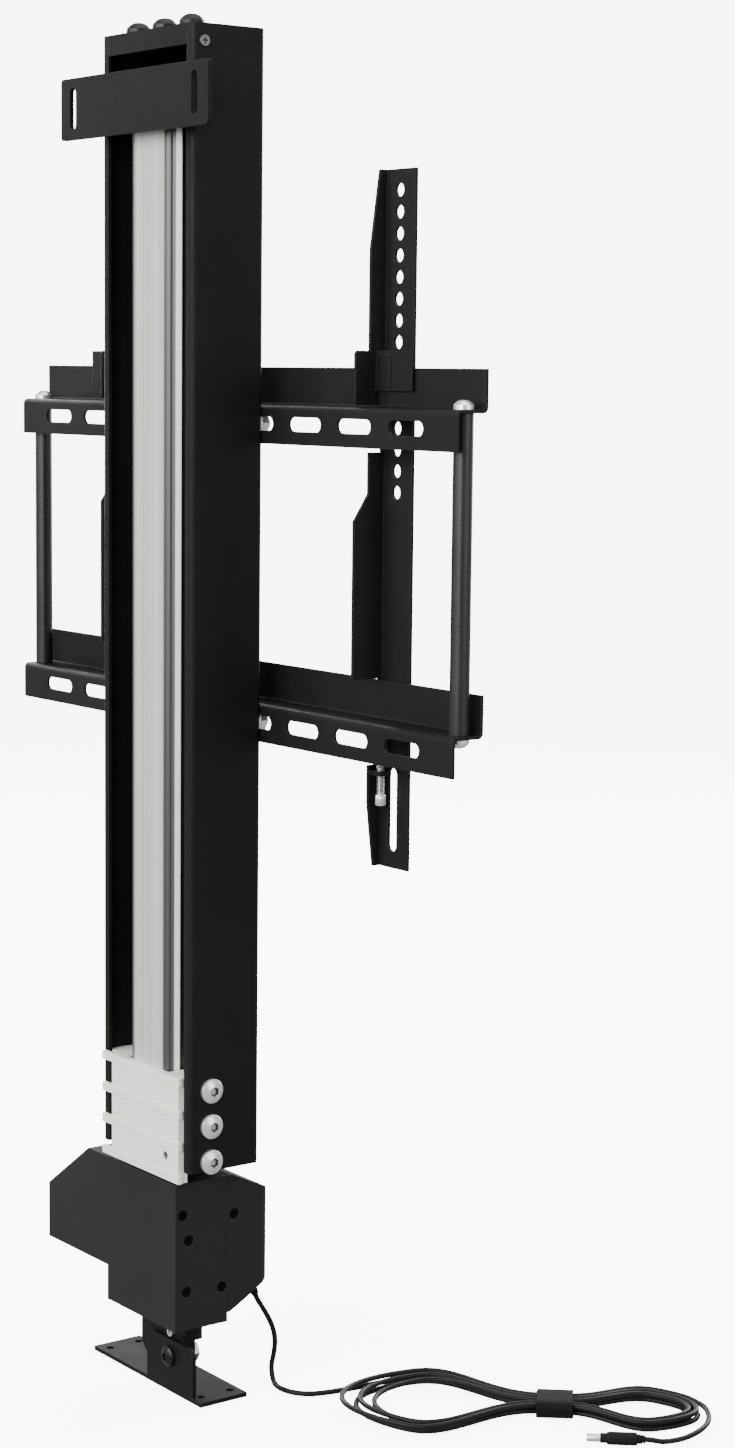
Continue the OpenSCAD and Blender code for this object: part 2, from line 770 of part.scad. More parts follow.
module tube(path, r, sides) {
    n = len(path);
    points = [for (i = [0 : n - 1]) for (p = ring_at(path, i, r, sides)) p];
    walls = [for (i = [0 : n - 2], k = [0 : sides - 1])
        let (a = i * sides + k, b = i * sides + (k + 1) % sides)
        each [[a, a + sides, b + sides], [a, b + sides, b]]];
    ends = [for (k = [1 : sides - 2]) each [[0, k, k + 1],
        [(n - 1) * sides, (n - 1) * sides + k + 1, (n - 1) * sides + k]]];
    polyhedron(points, concat(walls, ends), convexity = 10);
}

// Place in the hank after t turns: lobes shrink for half the turns, climb a layer and grow again
function hank_spot(t) = let (
    k = t < hank_turns ? t : 2 * hank_turns - t,
    angle = hank_start - 360 * t,
    c = cos(angle),
    s = sin(angle),
    length = c > 0 ? hank_right_l - hank_right_step * k : hank_left_l - hank_step_l * k,
    width = c > 0 ? hank_right_w - hank_right_step * k : hank_left_w - hank_step_w * k,
    waist = waist_least + waist_step * (hank_turns - k),
    shoulder = c > 0 ? hank_open_right : hank_open_left,
    open = pow(sin(90 * min(1, abs(c) * length / shoulder)), 3),
    climb = max(0, min(1, (t - hank_turns + 0.3) / 0.38)),
    height = layer_step * climb * climb * (3 - 2 * climb) + waist_lift * (1 - open))
    [c * length, s * (waist + (width - waist) * open), floor_z + height];

function from_hank(p) = [hank_mid[0] + p[0] * cos(hank_heading) - p[1] * sin(hank_heading),
    hank_mid[1] + p[0] * sin(hank_heading) + p[1] * cos(hank_heading), p[2]];

hank_local = concat([for (i = [0 : hank_total * hank_rings]) hank_spot(i / hank_rings)], tail_points);
hank_path = [for (p = hank_local) from_hank(p)];
cable_end = hank_path[0] - 0.02 * unit(hank_path[1] - hank_path[0]);
hank_lead = hank_path[0] - cable_d * 1.5 * unit(hank_path[1] - hank_path[0]);
cable_start = gland_tip - 3 * gland_dir;
cable_path = concat([cable_start, gland_tip], smooth_route(concat(cable_route, [hank_lead]), 2), [cable_end]);

// Least gap between two places of the hank that are not neighbours along it, on points along its middle
function finer(path) = [for (i = [0 : len(path) - 2], k = [0 : 2]) path[i] + (path[i + 1] - path[i]) * k / 3];
hank_fine = finer(hank_path);
hank_gap = min([for (i = [0 : len(hank_fine) - 1]) for (j = [i + 12 : 1 : len(hank_fine) - 1])
    norm(hank_fine[i] - hank_fine[j])]) - cable_d;
echo(hank_least_gap = hank_gap);

module power_cable() {
    color(black) tube(cable_path, cable_d / 2, 8);
}

module cable_hank() {
    color(black) tube(hank_path, cable_d / 2, 6);
}

// Band round the hank's waist
module cable_tie() {
    tie_half_w = waist_step * hank_turns + waist_least + cable_d / 2 + 4.2;
    tie_h = waist_lift - tie_wall + layer_step + cable_d + 0.3;
    tie_l = 24;
    color(black) translate([hank_mid[0], hank_mid[1], tie_h / 2 + tie_wall]) rotate(hank_heading)
    difference() {
        translate([-tie_l / 2, 0, 0]) along_x(tie_l)
            rounded(2 * (tie_half_w + tie_wall), tie_h + 2 * tie_wall, 2.5);
        translate([-tie_l / 2 - cut, 0, 0]) along_x(tie_l + 2 * cut) rounded(2 * tie_half_w, tie_h, 1.5);
    }
}

// Low-voltage plug on the cable's end, lying on the floor
module cable_plug() {
    back = from_hank([plug_back[0], plug_back[1], 0]);
    color(black) translate([back[0], back[1], 0]) rotate(hank_heading + 180) union() {
        translate([-3.6, 0, plug_r]) difference() {
            rod_x(plug_r, plug_l * 0.62 + 3.6);
            translate([-cut, 0, 0]) rod_x(cable_d / 2 + seat_gap, 3.6 + cut);
        }
        translate([plug_l * 0.62, 0, plug_r]) rod_x(plug_r - 1, plug_l * 0.12);
        translate([plug_l * 0.74, 0, plug_r]) rod_x(plug_r - 1.6, plug_l * 0.26);
    }
}

// Carriage

module channel_flat() {
    difference() {
        rounded(channel_w, channel_d, channel_r);
        rounded(inner_w, channel_d - 2 * channel_wall, channel_r - channel_wall);
        translate([-(channel_w / 2 - channel_lip), -channel_d])
            square([channel_w - 2 * channel_lip, channel_d]);
    }
}

function block_bolt_heights() = [for (i = [-1 : 1]) block_bolt_z + i * block_bolt_pitch];
function cap_screw_z() = channel_top - cap_t + 2;
cap_screw_y = rear_y + 7.5;

module outer_channel() {
    color(black) difference() {
        translate([0, rear_y + channel_d / 2, channel_z]) linear_extrude(channel_h) channel_flat();
        for (z = block_bolt_heights())
            translate([-channel_w, block_bolt_y, z]) rod_x(big_shank_r + 0.2, 2 * channel_w);
        translate([-channel_w, cap_screw_y, cap_screw_z()]) rod_x(1.6, 2 * channel_w);
        for (x = [-1, 1], z = [upper_rail_z, lower_rail_z])
            translate([x * rail_bolt_x, inner_front_y - cut, z + slot_rise])
                rod_y(big_shank_r + 0.2, channel_wall + 2 * cut);
    }
}

cap_bolt_y = rear_y + 13.5;

module channel_cap() {
    fit_r = channel_r - channel_wall + 0.1;
    half_mouth = channel_w / 2 - channel_lip - seat_gap;
    color(black) difference() {
        union() {
            translate([0, rear_y + channel_d / 2, channel_top - cap_t]) linear_extrude(cap_t)
                rounded(inner_w - 2 * seat_gap, channel_d - 2 * channel_wall - 2 * seat_gap, fit_r);
            translate([-half_mouth, rear_y, channel_top - cap_t])
                cube([2 * half_mouth, channel_wall + 2, cap_t]);
        }
        for (i = [-1 : 1])
            translate([i * cap_bolt_pitch, cap_bolt_y, channel_top - cap_t - cut])
                cylinder(r = big_shank_r + seat_gap, h = cap_t + 2 * cut);
        for (s = [-1, 1])
            translate([s > 0 ? inner_w / 2 - 5 : -inner_w / 2 - cut, cap_screw_y, cap_screw_z()])
                rod_x(1.5 + seat_gap, 5 + cut);
    }
}

module cap_bolts() {
    color(black) for (i = [-1 : 1])
        translate([i * cap_bolt_pitch, cap_bolt_y, channel_top])
            button_bolt(big_head_r, cap_head_h, big_shank_r, cap_t - 1);
}

module cap_side_screws() {
    color(zinc) for (s = [-1, 1])
        translate([s * channel_w / 2, cap_screw_y, cap_screw_z()]) rotate([0, s * 90, 0])
            cheese_screw(3.4, 2, 1.5, channel_wall + 4.5);
}

module carriage_block() {
    fit_r = channel_r - channel_wall + 0.1;
    color(silver) difference() {
        union() {
            translate([0, rear_y + channel_d / 2, block_body_z]) linear_extrude(block_top - block_body_z)
                rounded(inner_w - 2 * seat_gap, channel_d - 2 * channel_wall - 2 * seat_gap, fit_r);
            translate([-plate_left, rear_y - plate_proud + rib_proud, block_z])
                cube([plate_left + plate_right, plate_proud - rib_proud + channel_wall + 2, block_h]);
            for (i = [0 : rib_count - 1])
                translate([-rib_reach_long, rear_y - plate_proud,
                    block_z + i * (block_h - rib_t) / (rib_count - 1)])
                    cube([rib_reach_long + rib_reach_short, plate_proud - 0.3, rib_t]);
        }
        translate([-opening_half_w, profile_rear_y - 0.3, block_z - cut])
            cube([2 * opening_half_w, opening_front_y - profile_rear_y + 0.3, block_h + 2 * cut]);
        translate([plate_hole[0], rear_y - plate_proud - cut, block_z + plate_hole[1]])
            rod_y(plate_hole_r, plate_hole_l + cut);
        for (z = block_bolt_heights())
            translate([-channel_w, block_bolt_y, z]) rod_x(big_shank_r + seat_gap, 2 * channel_w);
        for (s = [-1, 1])
            translate([0, opening_front_y - cut, nut_z + nut_h / 2 + s * nut_screw_pitch / 2]) {
                rod_y(2 + seat_gap, channel_d);
                translate([0, cut + 2.4, 0]) rod_y(4.2, channel_d);
            }
    }
}

module carriage_bolts() {
    shank = inner_w / 2 - opening_half_w - 3;
    color(zinc) for (s = [-1, 1], z = block_bolt_heights())
        translate([s * channel_w / 2, block_bolt_y, z]) rotate([0, s * 90, 0])
            button_bolt(big_head_r, big_head_h, big_shank_r, shank + channel_wall);
}

// Glide pads in the block that run in the profile's grooves
module glide_pads() {
    inner_x = profile_w / 2 - groove_depth + pad_gap;
    pad_w = groove_w - 2 * pad_gap;
    color([0.9, 0.9, 0.88]) for (s = [-1, 1])
        translate([s > 0 ? inner_x : -opening_half_w, groove_y0 + pad_gap, block_body_z + 3])
            cube([opening_half_w - inner_x, pad_w, block_top - block_body_z - 6]);
}

module drive_nut() {
    arm_half_w = nut_r - 3;
    color([0.86, 0.84, 0.78]) difference() {
        union() {
            translate([0, 0, nut_z]) cylinder(r = nut_r, h = nut_h);
            translate([-arm_half_w, 0, nut_z]) cube([2 * arm_half_w, opening_front_y - seat_gap, nut_h]);
        }
        translate([0, 0, nut_z - cut]) cylinder(r = screw_r + run_gap, h = nut_h + 2 * cut);
        for (s = [-1, 1])
            translate([0, nut_r - 2, nut_z + nut_h / 2 + s * nut_screw_pitch / 2])
                rod_y(2 + seat_gap, channel_d);
    }
}

module nut_screws() {
    color(zinc) for (s = [-1, 1])
        translate([0, opening_front_y + 2.4 + seat_gap, nut_z + nut_h / 2 + s * nut_screw_pitch / 2])
            rotate([-90, 0, 0]) cheese_screw(3.8, 2.4, 2, 9);
}

// Television bracket

// A rail's section in Y and Z: flange down, shelf forward, lip up
module rail_flat() {
    flange = flange_h - rail_t - bend_r;
    shelf = rail_d - 2 * (rail_t + bend_r);
    lip = rail_h - flange_h - bend_r;
    square([rail_t, flange]);
    translate([rail_t + bend_r, flange]) bend_flat(bend_r, rail_t, -1, 1);
    translate([rail_t + bend_r, flange_h - rail_t]) square([shelf, rail_t]);
    translate([rail_t + bend_r + shelf, flange_h + bend_r]) bend_flat(bend_r, rail_t, 1, -1);
    translate([rail_d - rail_t, flange_h + bend_r]) square([rail_t, lip]);
}

rail_slots = [for (i = [0 : 3]) rail_slot_first + i * rail_slot_pitch];

module rail(z) {
    color(black) difference() {
        translate([-rail_l / 2, rail_y, z]) along_x(rail_l) rail_flat();
        for (x = rail_slots, s = [-1, 1])
            translate([s * x, rail_y - cut, z + slot_rise]) along_y(rail_t + 2 * cut)
                slot_flat(rail_slot_l, rail_slot_w);
        for (s = [-1, 1])
            translate([s * tube_x, tube_y, z + flange_h - rail_t - cut])
                cylinder(r = tube_screw_r + 0.1, h = rail_t + 2 * cut);
    }
}

module upper_rail() {
    rail(upper_rail_z);
}

module lower_rail() {
    rail(lower_rail_z);
}

module rail_bolts() {
    color(zinc) for (x = [-1, 1], z = [upper_rail_z, lower_rail_z])
        translate([x * rail_bolt_x, inner_front_y, z + slot_rise]) rotate([90, 0, 0])
            button_bolt(rail_head_r, rail_head_h, big_shank_r, channel_wall + rail_t + 10);
}

// Washers and hex nuts in front of the rails
module rail_nuts() {
    washer_t = 1.6;
    color(zinc) for (x = [-1, 1], z = [upper_rail_z, lower_rail_z])
        translate([x * rail_bolt_x, rail_y + rail_t, z + slot_rise]) difference() {
            union() {
                rod_y(8, washer_t);
                translate([0, washer_t, 0]) rotate([-90, 0, 0]) cylinder(r = 7.3, h = 6.4, $fn = 6);
            }
            translate([0, -cut, 0]) rod_y(big_shank_r + seat_gap, 12);
        }
}

tube_z0 = lower_rail_z + flange_h;
tube_z1 = upper_rail_z + flange_h - rail_t;

module spacer_tube(s) {
    color(black) translate([s * tube_x, tube_y, tube_z0]) difference() {
        cylinder(r = tube_r, h = tube_z1 - tube_z0);
        translate([0, 0, -cut]) cylinder(r = tube_screw_r + seat_gap, h = tube_z1 - tube_z0 + 2 * cut);
    }
}

module left_tube() {
    spacer_tube(-1);
}

module right_tube() {
    spacer_tube(1);
}

// Dome-head screws into both ends of the tubes
module tube_screws() {
    color(zinc) for (s = [-1, 1]) {
        translate([s * tube_x, tube_y, upper_rail_z + flange_h])
            button_bolt(tube_head_r, tube_head_h, tube_screw_r, tube_screw_l);
        translate([s * tube_x, tube_y, lower_rail_z + flange_h - rail_t]) rotate([180, 0, 0])
            button_bolt(tube_head_r, tube_head_h, tube_screw_r, tube_screw_l);
    }
}

// Arms

hook_top = upper_rail_z + rail_h + 0.3;
behind_lip = lip_y - 0.5;

// An arm's side in Y and Z, measured back from the face: a hook over the upper rail and a deep part between
module arm_side_flat() {
    shelf_top = upper_rail_z + flange_h;
    shallow = arm_front_y - arm_side;
    deep = arm_front_y - arm_deep;
    before_lip = lip_y + rail_t + 0.5;
    lower_lip_top = lower_rail_z + rail_h;
    polygon([[arm_front_y, arm_bottom], [arm_front_y - arm_tip, arm_bottom],
        [shallow + 2, arm_bottom + arm_taper_low], [shallow + 2, lower_rail_z - 5],
        [before_lip, lower_rail_z - 5],
        [before_lip, lower_lip_top + 0.5], [deep, lower_lip_top + 0.5], [deep, upper_rail_z - arm_deep_gap],
        [shallow, upper_rail_z - arm_deep_gap + arm_deep_slope], [shallow, upper_rail_z - 3],
        [before_lip, upper_rail_z - 3], [before_lip, hook_top], [behind_lip, hook_top],
        [behind_lip, shelf_top + 1.2], [deep + 2, shelf_top + 1.2], [deep, shelf_top + 3.2],
        [deep, hook_top + hook_over - 1.5], [deep + 1.5, hook_top + hook_over], [shallow, hook_top + hook_over],
        [shallow, arm_top - arm_taper_high], [arm_front_y - arm_tip, arm_top], [arm_front_y, arm_top]]);
}

lock_x = 9.5;
lock_y = arm_rear_y - 5.5;
lock_tab_z = lower_rail_z - 8;

// Right arm as if its side were at x = 0, its face to the right
module arm_shape() {
    color(black) difference() {
        union() {
            along_x(arm_t) arm_side_flat();
            translate([0, arm_rear_y, arm_bottom]) cube([arm_w, arm_t, arm_l]);
            translate([0, behind_lip - arm_t, hook_top - hook_down])
                cube([hook_w, arm_t, hook_down + hook_over]);
            translate([arm_hole_x, behind_lip - arm_t - hook_bead[1], hook_top - hook_down + 2])
                cube(hook_bead + [0, arm_t / 2, 0]);
            translate([arm_t / 2, lock_y - 4.5, lock_tab_z - lock_tab_t])
                cube([lock_x + 4, arm_rear_y - lock_y + 3.9, lock_tab_t]);
        }
        for (i = [0 : arm_hole_count - 1])
            translate([arm_hole_x, arm_rear_y - cut, arm_top_hole_z - i * arm_hole_pitch])
                rod_y(arm_hole_r, arm_t + 2 * cut);
        translate([arm_hole_x, arm_rear_y - cut, arm_slot_z + arm_slot_l / 2 - arm_hole_r])
            along_y(arm_t + 2 * cut) rotate(90) slot_flat(arm_slot_l, 2 * arm_hole_r);
        translate([lock_x, lock_y, lock_tab_z - lock_tab_t - cut])
            cylinder(r = lock_r + seat_gap, h = lock_tab_t + 2 * cut);
    }
}

// Locking screw under the lower rail's shelf, with a round head to turn by hand
module lock_screw_shape() {
    head_h = 7;
    tip_z = lower_rail_z + flange_h - rail_t - 0.4;
    head_z = lock_tab_z - lock_tab_t - lock_l;
    color(zinc) translate([lock_x, lock_y, 0]) {
        translate([0, 0, head_z + head_h / 2]) cylinder(r = lock_r, h = tip_z - head_z - head_h / 2);
        translate([0, 0, head_z]) cylinder(r = lock_head_r, h = head_h);
    }
}

module right_arm() {
    translate([right_arm_x, 0, 0]) arm_shape();
}

module right_lock_screw() {
    translate([right_arm_x, 0, 0]) lock_screw_shape();
}

module left_arm() {
    translate([-left_arm_x, 0, 0]) mirror([1, 0, 0]) arm_shape();
}

module left_lock_screw() {
    translate([-left_arm_x, 0, 0]) mirror([1, 0, 0]) lock_screw_shape();
}

// Drive: the screw and the wheel turn together, the worm turns them

module lead_screw() {
    shoulder_z = upper_bearing_z + bearing_h + 0.3;
    color(zinc) union() {
        translate([0, 0, lower_bearing_z + 0.3]) cylinder(r = journal_r, h = shoulder_z - lower_bearing_z);
        translate([0, 0, shoulder_z]) cylinder(r = screw_r, h = profile_top - 11 - shoulder_z);
        translate([0, 0, profile_top - 12]) cylinder(r = journal_r, h = 11);
    }
}

module worm_wheel() {
    root_r = wheel_r - 0.9;
    tip_r = wheel_r + 0.6;
    step = 360 / wheel_teeth;
    // Four corners a tooth: root, tip, tip, root, as distance and angle
    corners = [[root_r, 0.1], [tip_r, 0.32], [tip_r, 0.58], [root_r, 0.8]];
    outline = [for (i = [0 : wheel_teeth - 1]) for (c = corners)
        c[0] * [cos(step * (i + c[1])), sin(step * (i + c[1]))]];
    color([0.86, 0.84, 0.78]) translate([0, 0, motor_z - wheel_t / 2]) linear_extrude(wheel_t) difference() {
        polygon(outline);
        circle(journal_r + 0.02);
    }
}

module motor_worm() {
    shaft_x = -arm_end + housing_wall + motor_l / 2 + 1;
    color(zinc) union() {
        translate([shaft_x, drive_offset, motor_z]) rod_x(shaft_r, worm_end_x + 9 - shaft_x);
        translate([-worm_l / 2, drive_offset, motor_z]) rod_x(worm_r, worm_l);
    }
}

// Foot

function foot_hole_places() = [for (x = [-foot_left + foot_hole_inset, foot_right - foot_hole_inset],
    y = [foot_hole_margin, foot_d - foot_hole_margin]) [x, foot_y + y]];

module foot_bracket() {
    round_r = 7;
    color(black) difference() {
        union() {
            translate([-foot_left, foot_y, 0]) cube([foot_left + foot_right, foot_d, foot_t]);
            translate([0, foot_y, 0]) along_y(foot_t) union() {
                translate([-tab_half_w, 0]) square([2 * tab_half_w, tab_h - round_r]);
                translate([-tab_half_w + round_r, 0]) square([2 * (tab_half_w - round_r), tab_h]);
                for (s = [-1, 1])
                    translate([s * (tab_half_w - round_r), tab_h - round_r]) circle(round_r);
            }
        }
        translate([0, foot_y - cut, pin_z]) rod_y(pin_r + seat_gap, foot_t + 2 * cut);
        for (p = foot_hole_places())
            translate([p[0], p[1], -cut]) cylinder(r = foot_hole_r, h = foot_t + 2 * cut);
    }
}

pin_l = foot_t + ear_t + 0.4;

module foot_pin() {
    color(zinc) translate([0, foot_y, pin_z]) rotate([90, 0, 0]) button_bolt(7, 4.5, pin_r, pin_l + 7.5);
}

module pin_nut() {
    color(zinc) translate([0, foot_y + pin_l, pin_z]) difference() {
        rotate([-90, 0, 0]) cylinder(r = 7, h = 6.5, $fn = 6);
        translate([0, -cut, 0]) rod_y(pin_r + seat_gap, 10);
    }
}

guide_profile();
profile_plug();
top_guide();
cabinet_strip();
strip_spacer();
strip_screws();
gear_rear_shell();
gear_front_cover();
housing_screws();
motor_can();
screw_bearing_lower();
screw_bearing_upper();
limit_switches();
clevis_lug();
clevis_screws();
cable_gland();
power_cable();
cable_hank();
cable_tie();
cable_plug();
outer_channel();
channel_cap();
cap_bolts();
cap_side_screws();
carriage_block();
carriage_bolts();
glide_pads();
drive_nut();
nut_screws();
upper_rail();
lower_rail();
rail_bolts();
rail_nuts();
left_tube();
right_tube();
tube_screws();
left_arm();
left_lock_screw();
right_arm();
right_lock_screw();
lead_screw();
worm_wheel();
motor_worm();
foot_bracket();
foot_pin();
pin_nut();
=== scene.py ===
"""Looks of the television lift: camera, light, cable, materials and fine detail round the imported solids."""
import json
import math

import bmesh
import bpy
from mathutils import Matrix, Vector


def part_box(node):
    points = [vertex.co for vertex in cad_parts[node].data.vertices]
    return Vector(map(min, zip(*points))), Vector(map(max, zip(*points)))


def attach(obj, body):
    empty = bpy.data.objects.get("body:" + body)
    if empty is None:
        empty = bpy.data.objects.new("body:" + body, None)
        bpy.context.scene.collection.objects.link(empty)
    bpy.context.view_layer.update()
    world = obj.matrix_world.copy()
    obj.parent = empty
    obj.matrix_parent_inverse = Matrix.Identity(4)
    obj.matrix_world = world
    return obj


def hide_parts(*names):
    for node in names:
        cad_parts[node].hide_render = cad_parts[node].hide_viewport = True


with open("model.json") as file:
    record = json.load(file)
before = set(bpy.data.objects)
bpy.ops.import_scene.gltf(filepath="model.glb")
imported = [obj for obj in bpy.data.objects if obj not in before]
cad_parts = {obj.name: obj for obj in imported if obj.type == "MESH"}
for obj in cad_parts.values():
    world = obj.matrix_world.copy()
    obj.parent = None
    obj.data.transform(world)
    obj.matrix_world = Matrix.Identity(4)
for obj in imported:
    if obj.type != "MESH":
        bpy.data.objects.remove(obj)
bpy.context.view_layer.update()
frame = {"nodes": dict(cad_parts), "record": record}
nodes = frame["nodes"]

# Metres in a millimetre. Pieces are drawn in millimetres, and Blender's own values are in metres
MM = 0.001


# Meshes

def new_mesh(name, verts, faces, material, smooth=True):
    """An object of one mesh, in metres, with its faces turned outwards."""
    mesh = bpy.data.meshes.new(name)
    mesh.from_pydata([tuple(v) for v in verts], [], faces)
    mesh.update()
    work = bmesh.new()
    work.from_mesh(mesh)
    bmesh.ops.recalc_face_normals(work, faces=work.faces)
    work.to_mesh(mesh)
    work.free()
    for face in mesh.polygons:
        face.use_smooth = smooth
    piece = bpy.data.objects.new(name, mesh)
    bpy.context.collection.objects.link(piece)
    mesh.materials.append(material)
    return piece


def bevel(piece, width):
    """Rounds the sharp edges of a piece."""
    mod = piece.modifiers.new("bevel", "BEVEL")
    mod.width = width
    mod.segments = 2
    mod.limit_method = "ANGLE"
    mod.angle_limit = math.radians(35)


def sharpen(piece, degrees=40):
    """Sharp shading where two faces meet at more than this angle."""
    mod = piece.modifiers.new("split", "EDGE_SPLIT")
    mod.split_angle = math.radians(degrees)


# Camera, fitted to the photograph's edges

CAMERA_PLACE = (1.5130, -0.9722, 0.6776)
CAMERA_FORWARD = Vector((-0.79527, 0.59329, -0.12471))
CAMERA_UP = Vector((-0.10656, 0.0657, 0.99213))
CAMERA_LENS = 69.05
CAMERA_SENSOR = 36.0
CAMERA_REACH = 60.0


def add_camera():
    data = bpy.data.cameras.new("camera")
    cam = bpy.data.objects.new("camera", data)
    bpy.context.collection.objects.link(cam)
    forward = CAMERA_FORWARD.normalized()
    right = forward.cross(CAMERA_UP).normalized()
    up = right.cross(forward)
    turn = Matrix((right, up, -forward)).transposed()
    cam.matrix_world = Matrix.Translation(CAMERA_PLACE) @ turn.to_4x4()
    data.sensor_fit = "AUTO"
    data.sensor_width = CAMERA_SENSOR
    data.lens = CAMERA_LENS
    data.clip_end = CAMERA_REACH
    bpy.context.scene.camera = cam


add_camera()


# Material nodes

def start_material(name):
    mat = bpy.data.materials.new(name)
    mat.use_nodes = True
    tree = mat.node_tree
    shader = tree.nodes["Principled BSDF"]
    return mat, tree, shader


def node(tree, kind, **values):
    """A new node. A value is set on the input of that name or, where there is none, on the property."""
    made = tree.nodes.new(kind)
    for key, value in values.items():
        if key in made.inputs:
            made.inputs[key].default_value = value
        else:
            setattr(made, key, value)
    return made


def colour(red, green, blue):
    return (red, green, blue, 1.0)


def grey(value):
    return colour(value, value, value)


EVEN = (1.0, 1.0, 1.0)


def place(tree, stretch=EVEN):
    """The object's own coordinates, in metres, scaled along each axis."""
    coord = node(tree, "ShaderNodeTexCoord")
    mapping = node(tree, "ShaderNodeMapping", Scale=stretch)
    tree.links.new(coord.outputs["Object"], mapping.inputs["Vector"])
    return mapping.outputs["Vector"]


def noise(tree, where, scale, detail=3.0, rough=0.5):
    tex = node(tree, "ShaderNodeTexNoise", Scale=scale, Detail=detail, Roughness=rough)
    tree.links.new(where, tex.inputs["Vector"])
    return tex.outputs["Fac"]


def ramp(tree, value, low, high, start=0.3, end=0.7):
    """Colour from low to high as value, between 0 and 1, goes from start to end."""
    made = node(tree, "ShaderNodeValToRGB")
    made.color_ramp.elements[0].position = start
    made.color_ramp.elements[1].position = end
    made.color_ramp.elements[0].color = low
    made.color_ramp.elements[1].color = high
    tree.links.new(value, made.inputs["Fac"])
    return made.outputs["Color"]


def mapped(tree, value, start, end):
    """0 at start and 1 at end, level beyond them. start and end have any size and order."""
    made = node(tree, "ShaderNodeMapRange")
    made.inputs["From Min"].default_value = start
    made.inputs["From Max"].default_value = end
    tree.links.new(value, made.inputs["Value"])
    return made.outputs["Result"]


def times(tree, first, second):
    made = node(tree, "ShaderNodeMath", operation="MULTIPLY")
    tree.links.new(first, made.inputs[0])
    tree.links.new(second, made.inputs[1])
    return made.outputs["Value"]


def size_along(tree, vector, axis):
    """How far a vector reaches along one axis, either way."""
    split = node(tree, "ShaderNodeSeparateXYZ")
    tree.links.new(vector, split.inputs["Vector"])
    made = node(tree, "ShaderNodeMath", operation="ABSOLUTE")
    tree.links.new(split.outputs[axis], made.inputs[0])
    return made.outputs["Value"]


def blend_colour(tree, factor, first, second):
    """first where factor is 0 and second where it is 1. Each is a colour or another node's output."""
    made = node(tree, "ShaderNodeMix", data_type="RGBA")
    tree.links.new(factor, made.inputs["Factor"])
    for value, socket in ((first, made.inputs[6]), (second, made.inputs[7])):
        if isinstance(value, tuple):
            socket.default_value = value
        else:
            tree.links.new(value, socket)
    return made.outputs[2]


def bump(tree, height, strength, distance, normal=None):
    made = node(tree, "ShaderNodeBump", Strength=strength, Distance=distance)
    tree.links.new(height, made.inputs["Height"])
    if normal is not None:
        tree.links.new(normal, made.inputs["Normal"])
    return made.outputs["Normal"]


def soft_edge(tree, radius):
    """Normals that round the sharp edges of a solid."""
    made = node(tree, "ShaderNodeBevel", samples=6, Radius=radius)
    return made.outputs["Normal"]


def edge_mask(tree, radius):
    """1 along the sharp edges of a solid, where a coat wears and where an edge highlight is painted."""
    plain = node(tree, "ShaderNodeNewGeometry")
    dot = node(tree, "ShaderNodeVectorMath", operation="DOT_PRODUCT")
    tree.links.new(soft_edge(tree, radius), dot.inputs[0])
    tree.links.new(plain.outputs["True Normal"], dot.inputs[1])
    return ramp(tree, dot.outputs["Value"], grey(1.0), grey(0.0), 0.82, 0.985)


def recess_mask(tree, reach, start, end):
    """0 where more than start of a solid's own surroundings is open, 1 where less than end is."""
    made = node(tree, "ShaderNodeAmbientOcclusion", samples=8, only_local=True, Distance=reach)
    return mapped(tree, made.outputs["AO"], start, end)


# Kinds of material

PEEL_DEPTH = 0.2 * MM
BRUSH_DEPTH = 0.1 * MM
# How recess_mask finds where to paint shade: the socket of a bolt, and a blind hole but not the grooves
# between ribs
SOCKET = (3 * MM, 0.95, 0.55)
BLIND_HOLE = (8 * MM, 0.42, 0.2)


def coated(name, low, high, rough_low, rough_high, grain=900.0, strength=0.25, edge=0.6 * MM, specular=0.5,
           worn_and_highlit=None):
    """Powder coat or moulded plastic: fine orange peel, cloudy tone, an uneven sheen, and worn edges that are
    lighter also as a painted highlight.
    """
    mat, tree, shader = start_material(name)
    where = place(tree)
    clouds = noise(tree, where, 9.0, 4.0)
    tone = ramp(tree, clouds, low, high)
    # Worn edges, lightened also as a painted highlight
    if worn_and_highlit is not None:
        patchy = noise(tree, where, 60.0, 4.0, 0.6)
        tone = blend_colour(tree, times(tree, edge_mask(tree, edge), patchy), tone, worn_and_highlit)
    tree.links.new(tone, shader.inputs["Base Color"])
    smears = noise(tree, where, 38.0, 5.0, 0.6)
    tree.links.new(ramp(tree, smears, grey(rough_low), grey(rough_high)), shader.inputs["Roughness"])
    peel = noise(tree, where, grain, 2.0)
    normal = bump(tree, peel, strength, PEEL_DEPTH, soft_edge(tree, edge))
    tree.links.new(normal, shader.inputs["Normal"])
    shader.inputs["Specular IOR Level"].default_value = specular
    return mat


def metal(name, low, high, rough_low, rough_high, scale, strength, stretch=EVEN, edge=0.4 * MM, metallic=1.0,
          recess_shade=None, recess=SOCKET):
    """Bare or plated metal: a fine grain, cloudy gloss and, where recess_shade is given, painted shade in
    recesses.
    """
    mat, tree, shader = start_material(name)
    brushed = noise(tree, place(tree, stretch), scale, 6.0, 0.65)
    clouds = noise(tree, place(tree), 14.0, 3.0)
    tone = ramp(tree, brushed, low, high, 0.25, 0.75)
    # Painted shade: darker where the solid's own surroundings close in
    if recess_shade is not None:
        tone = blend_colour(tree, recess_mask(tree, *recess), tone, recess_shade)
    tree.links.new(tone, shader.inputs["Base Color"])
    tree.links.new(ramp(tree, clouds, grey(rough_low), grey(rough_high)), shader.inputs["Roughness"])
    normal = bump(tree, brushed, strength, BRUSH_DEPTH, soft_edge(tree, edge))
    tree.links.new(normal, shader.inputs["Normal"])
    shader.inputs["Metallic"].default_value = metallic
    return mat


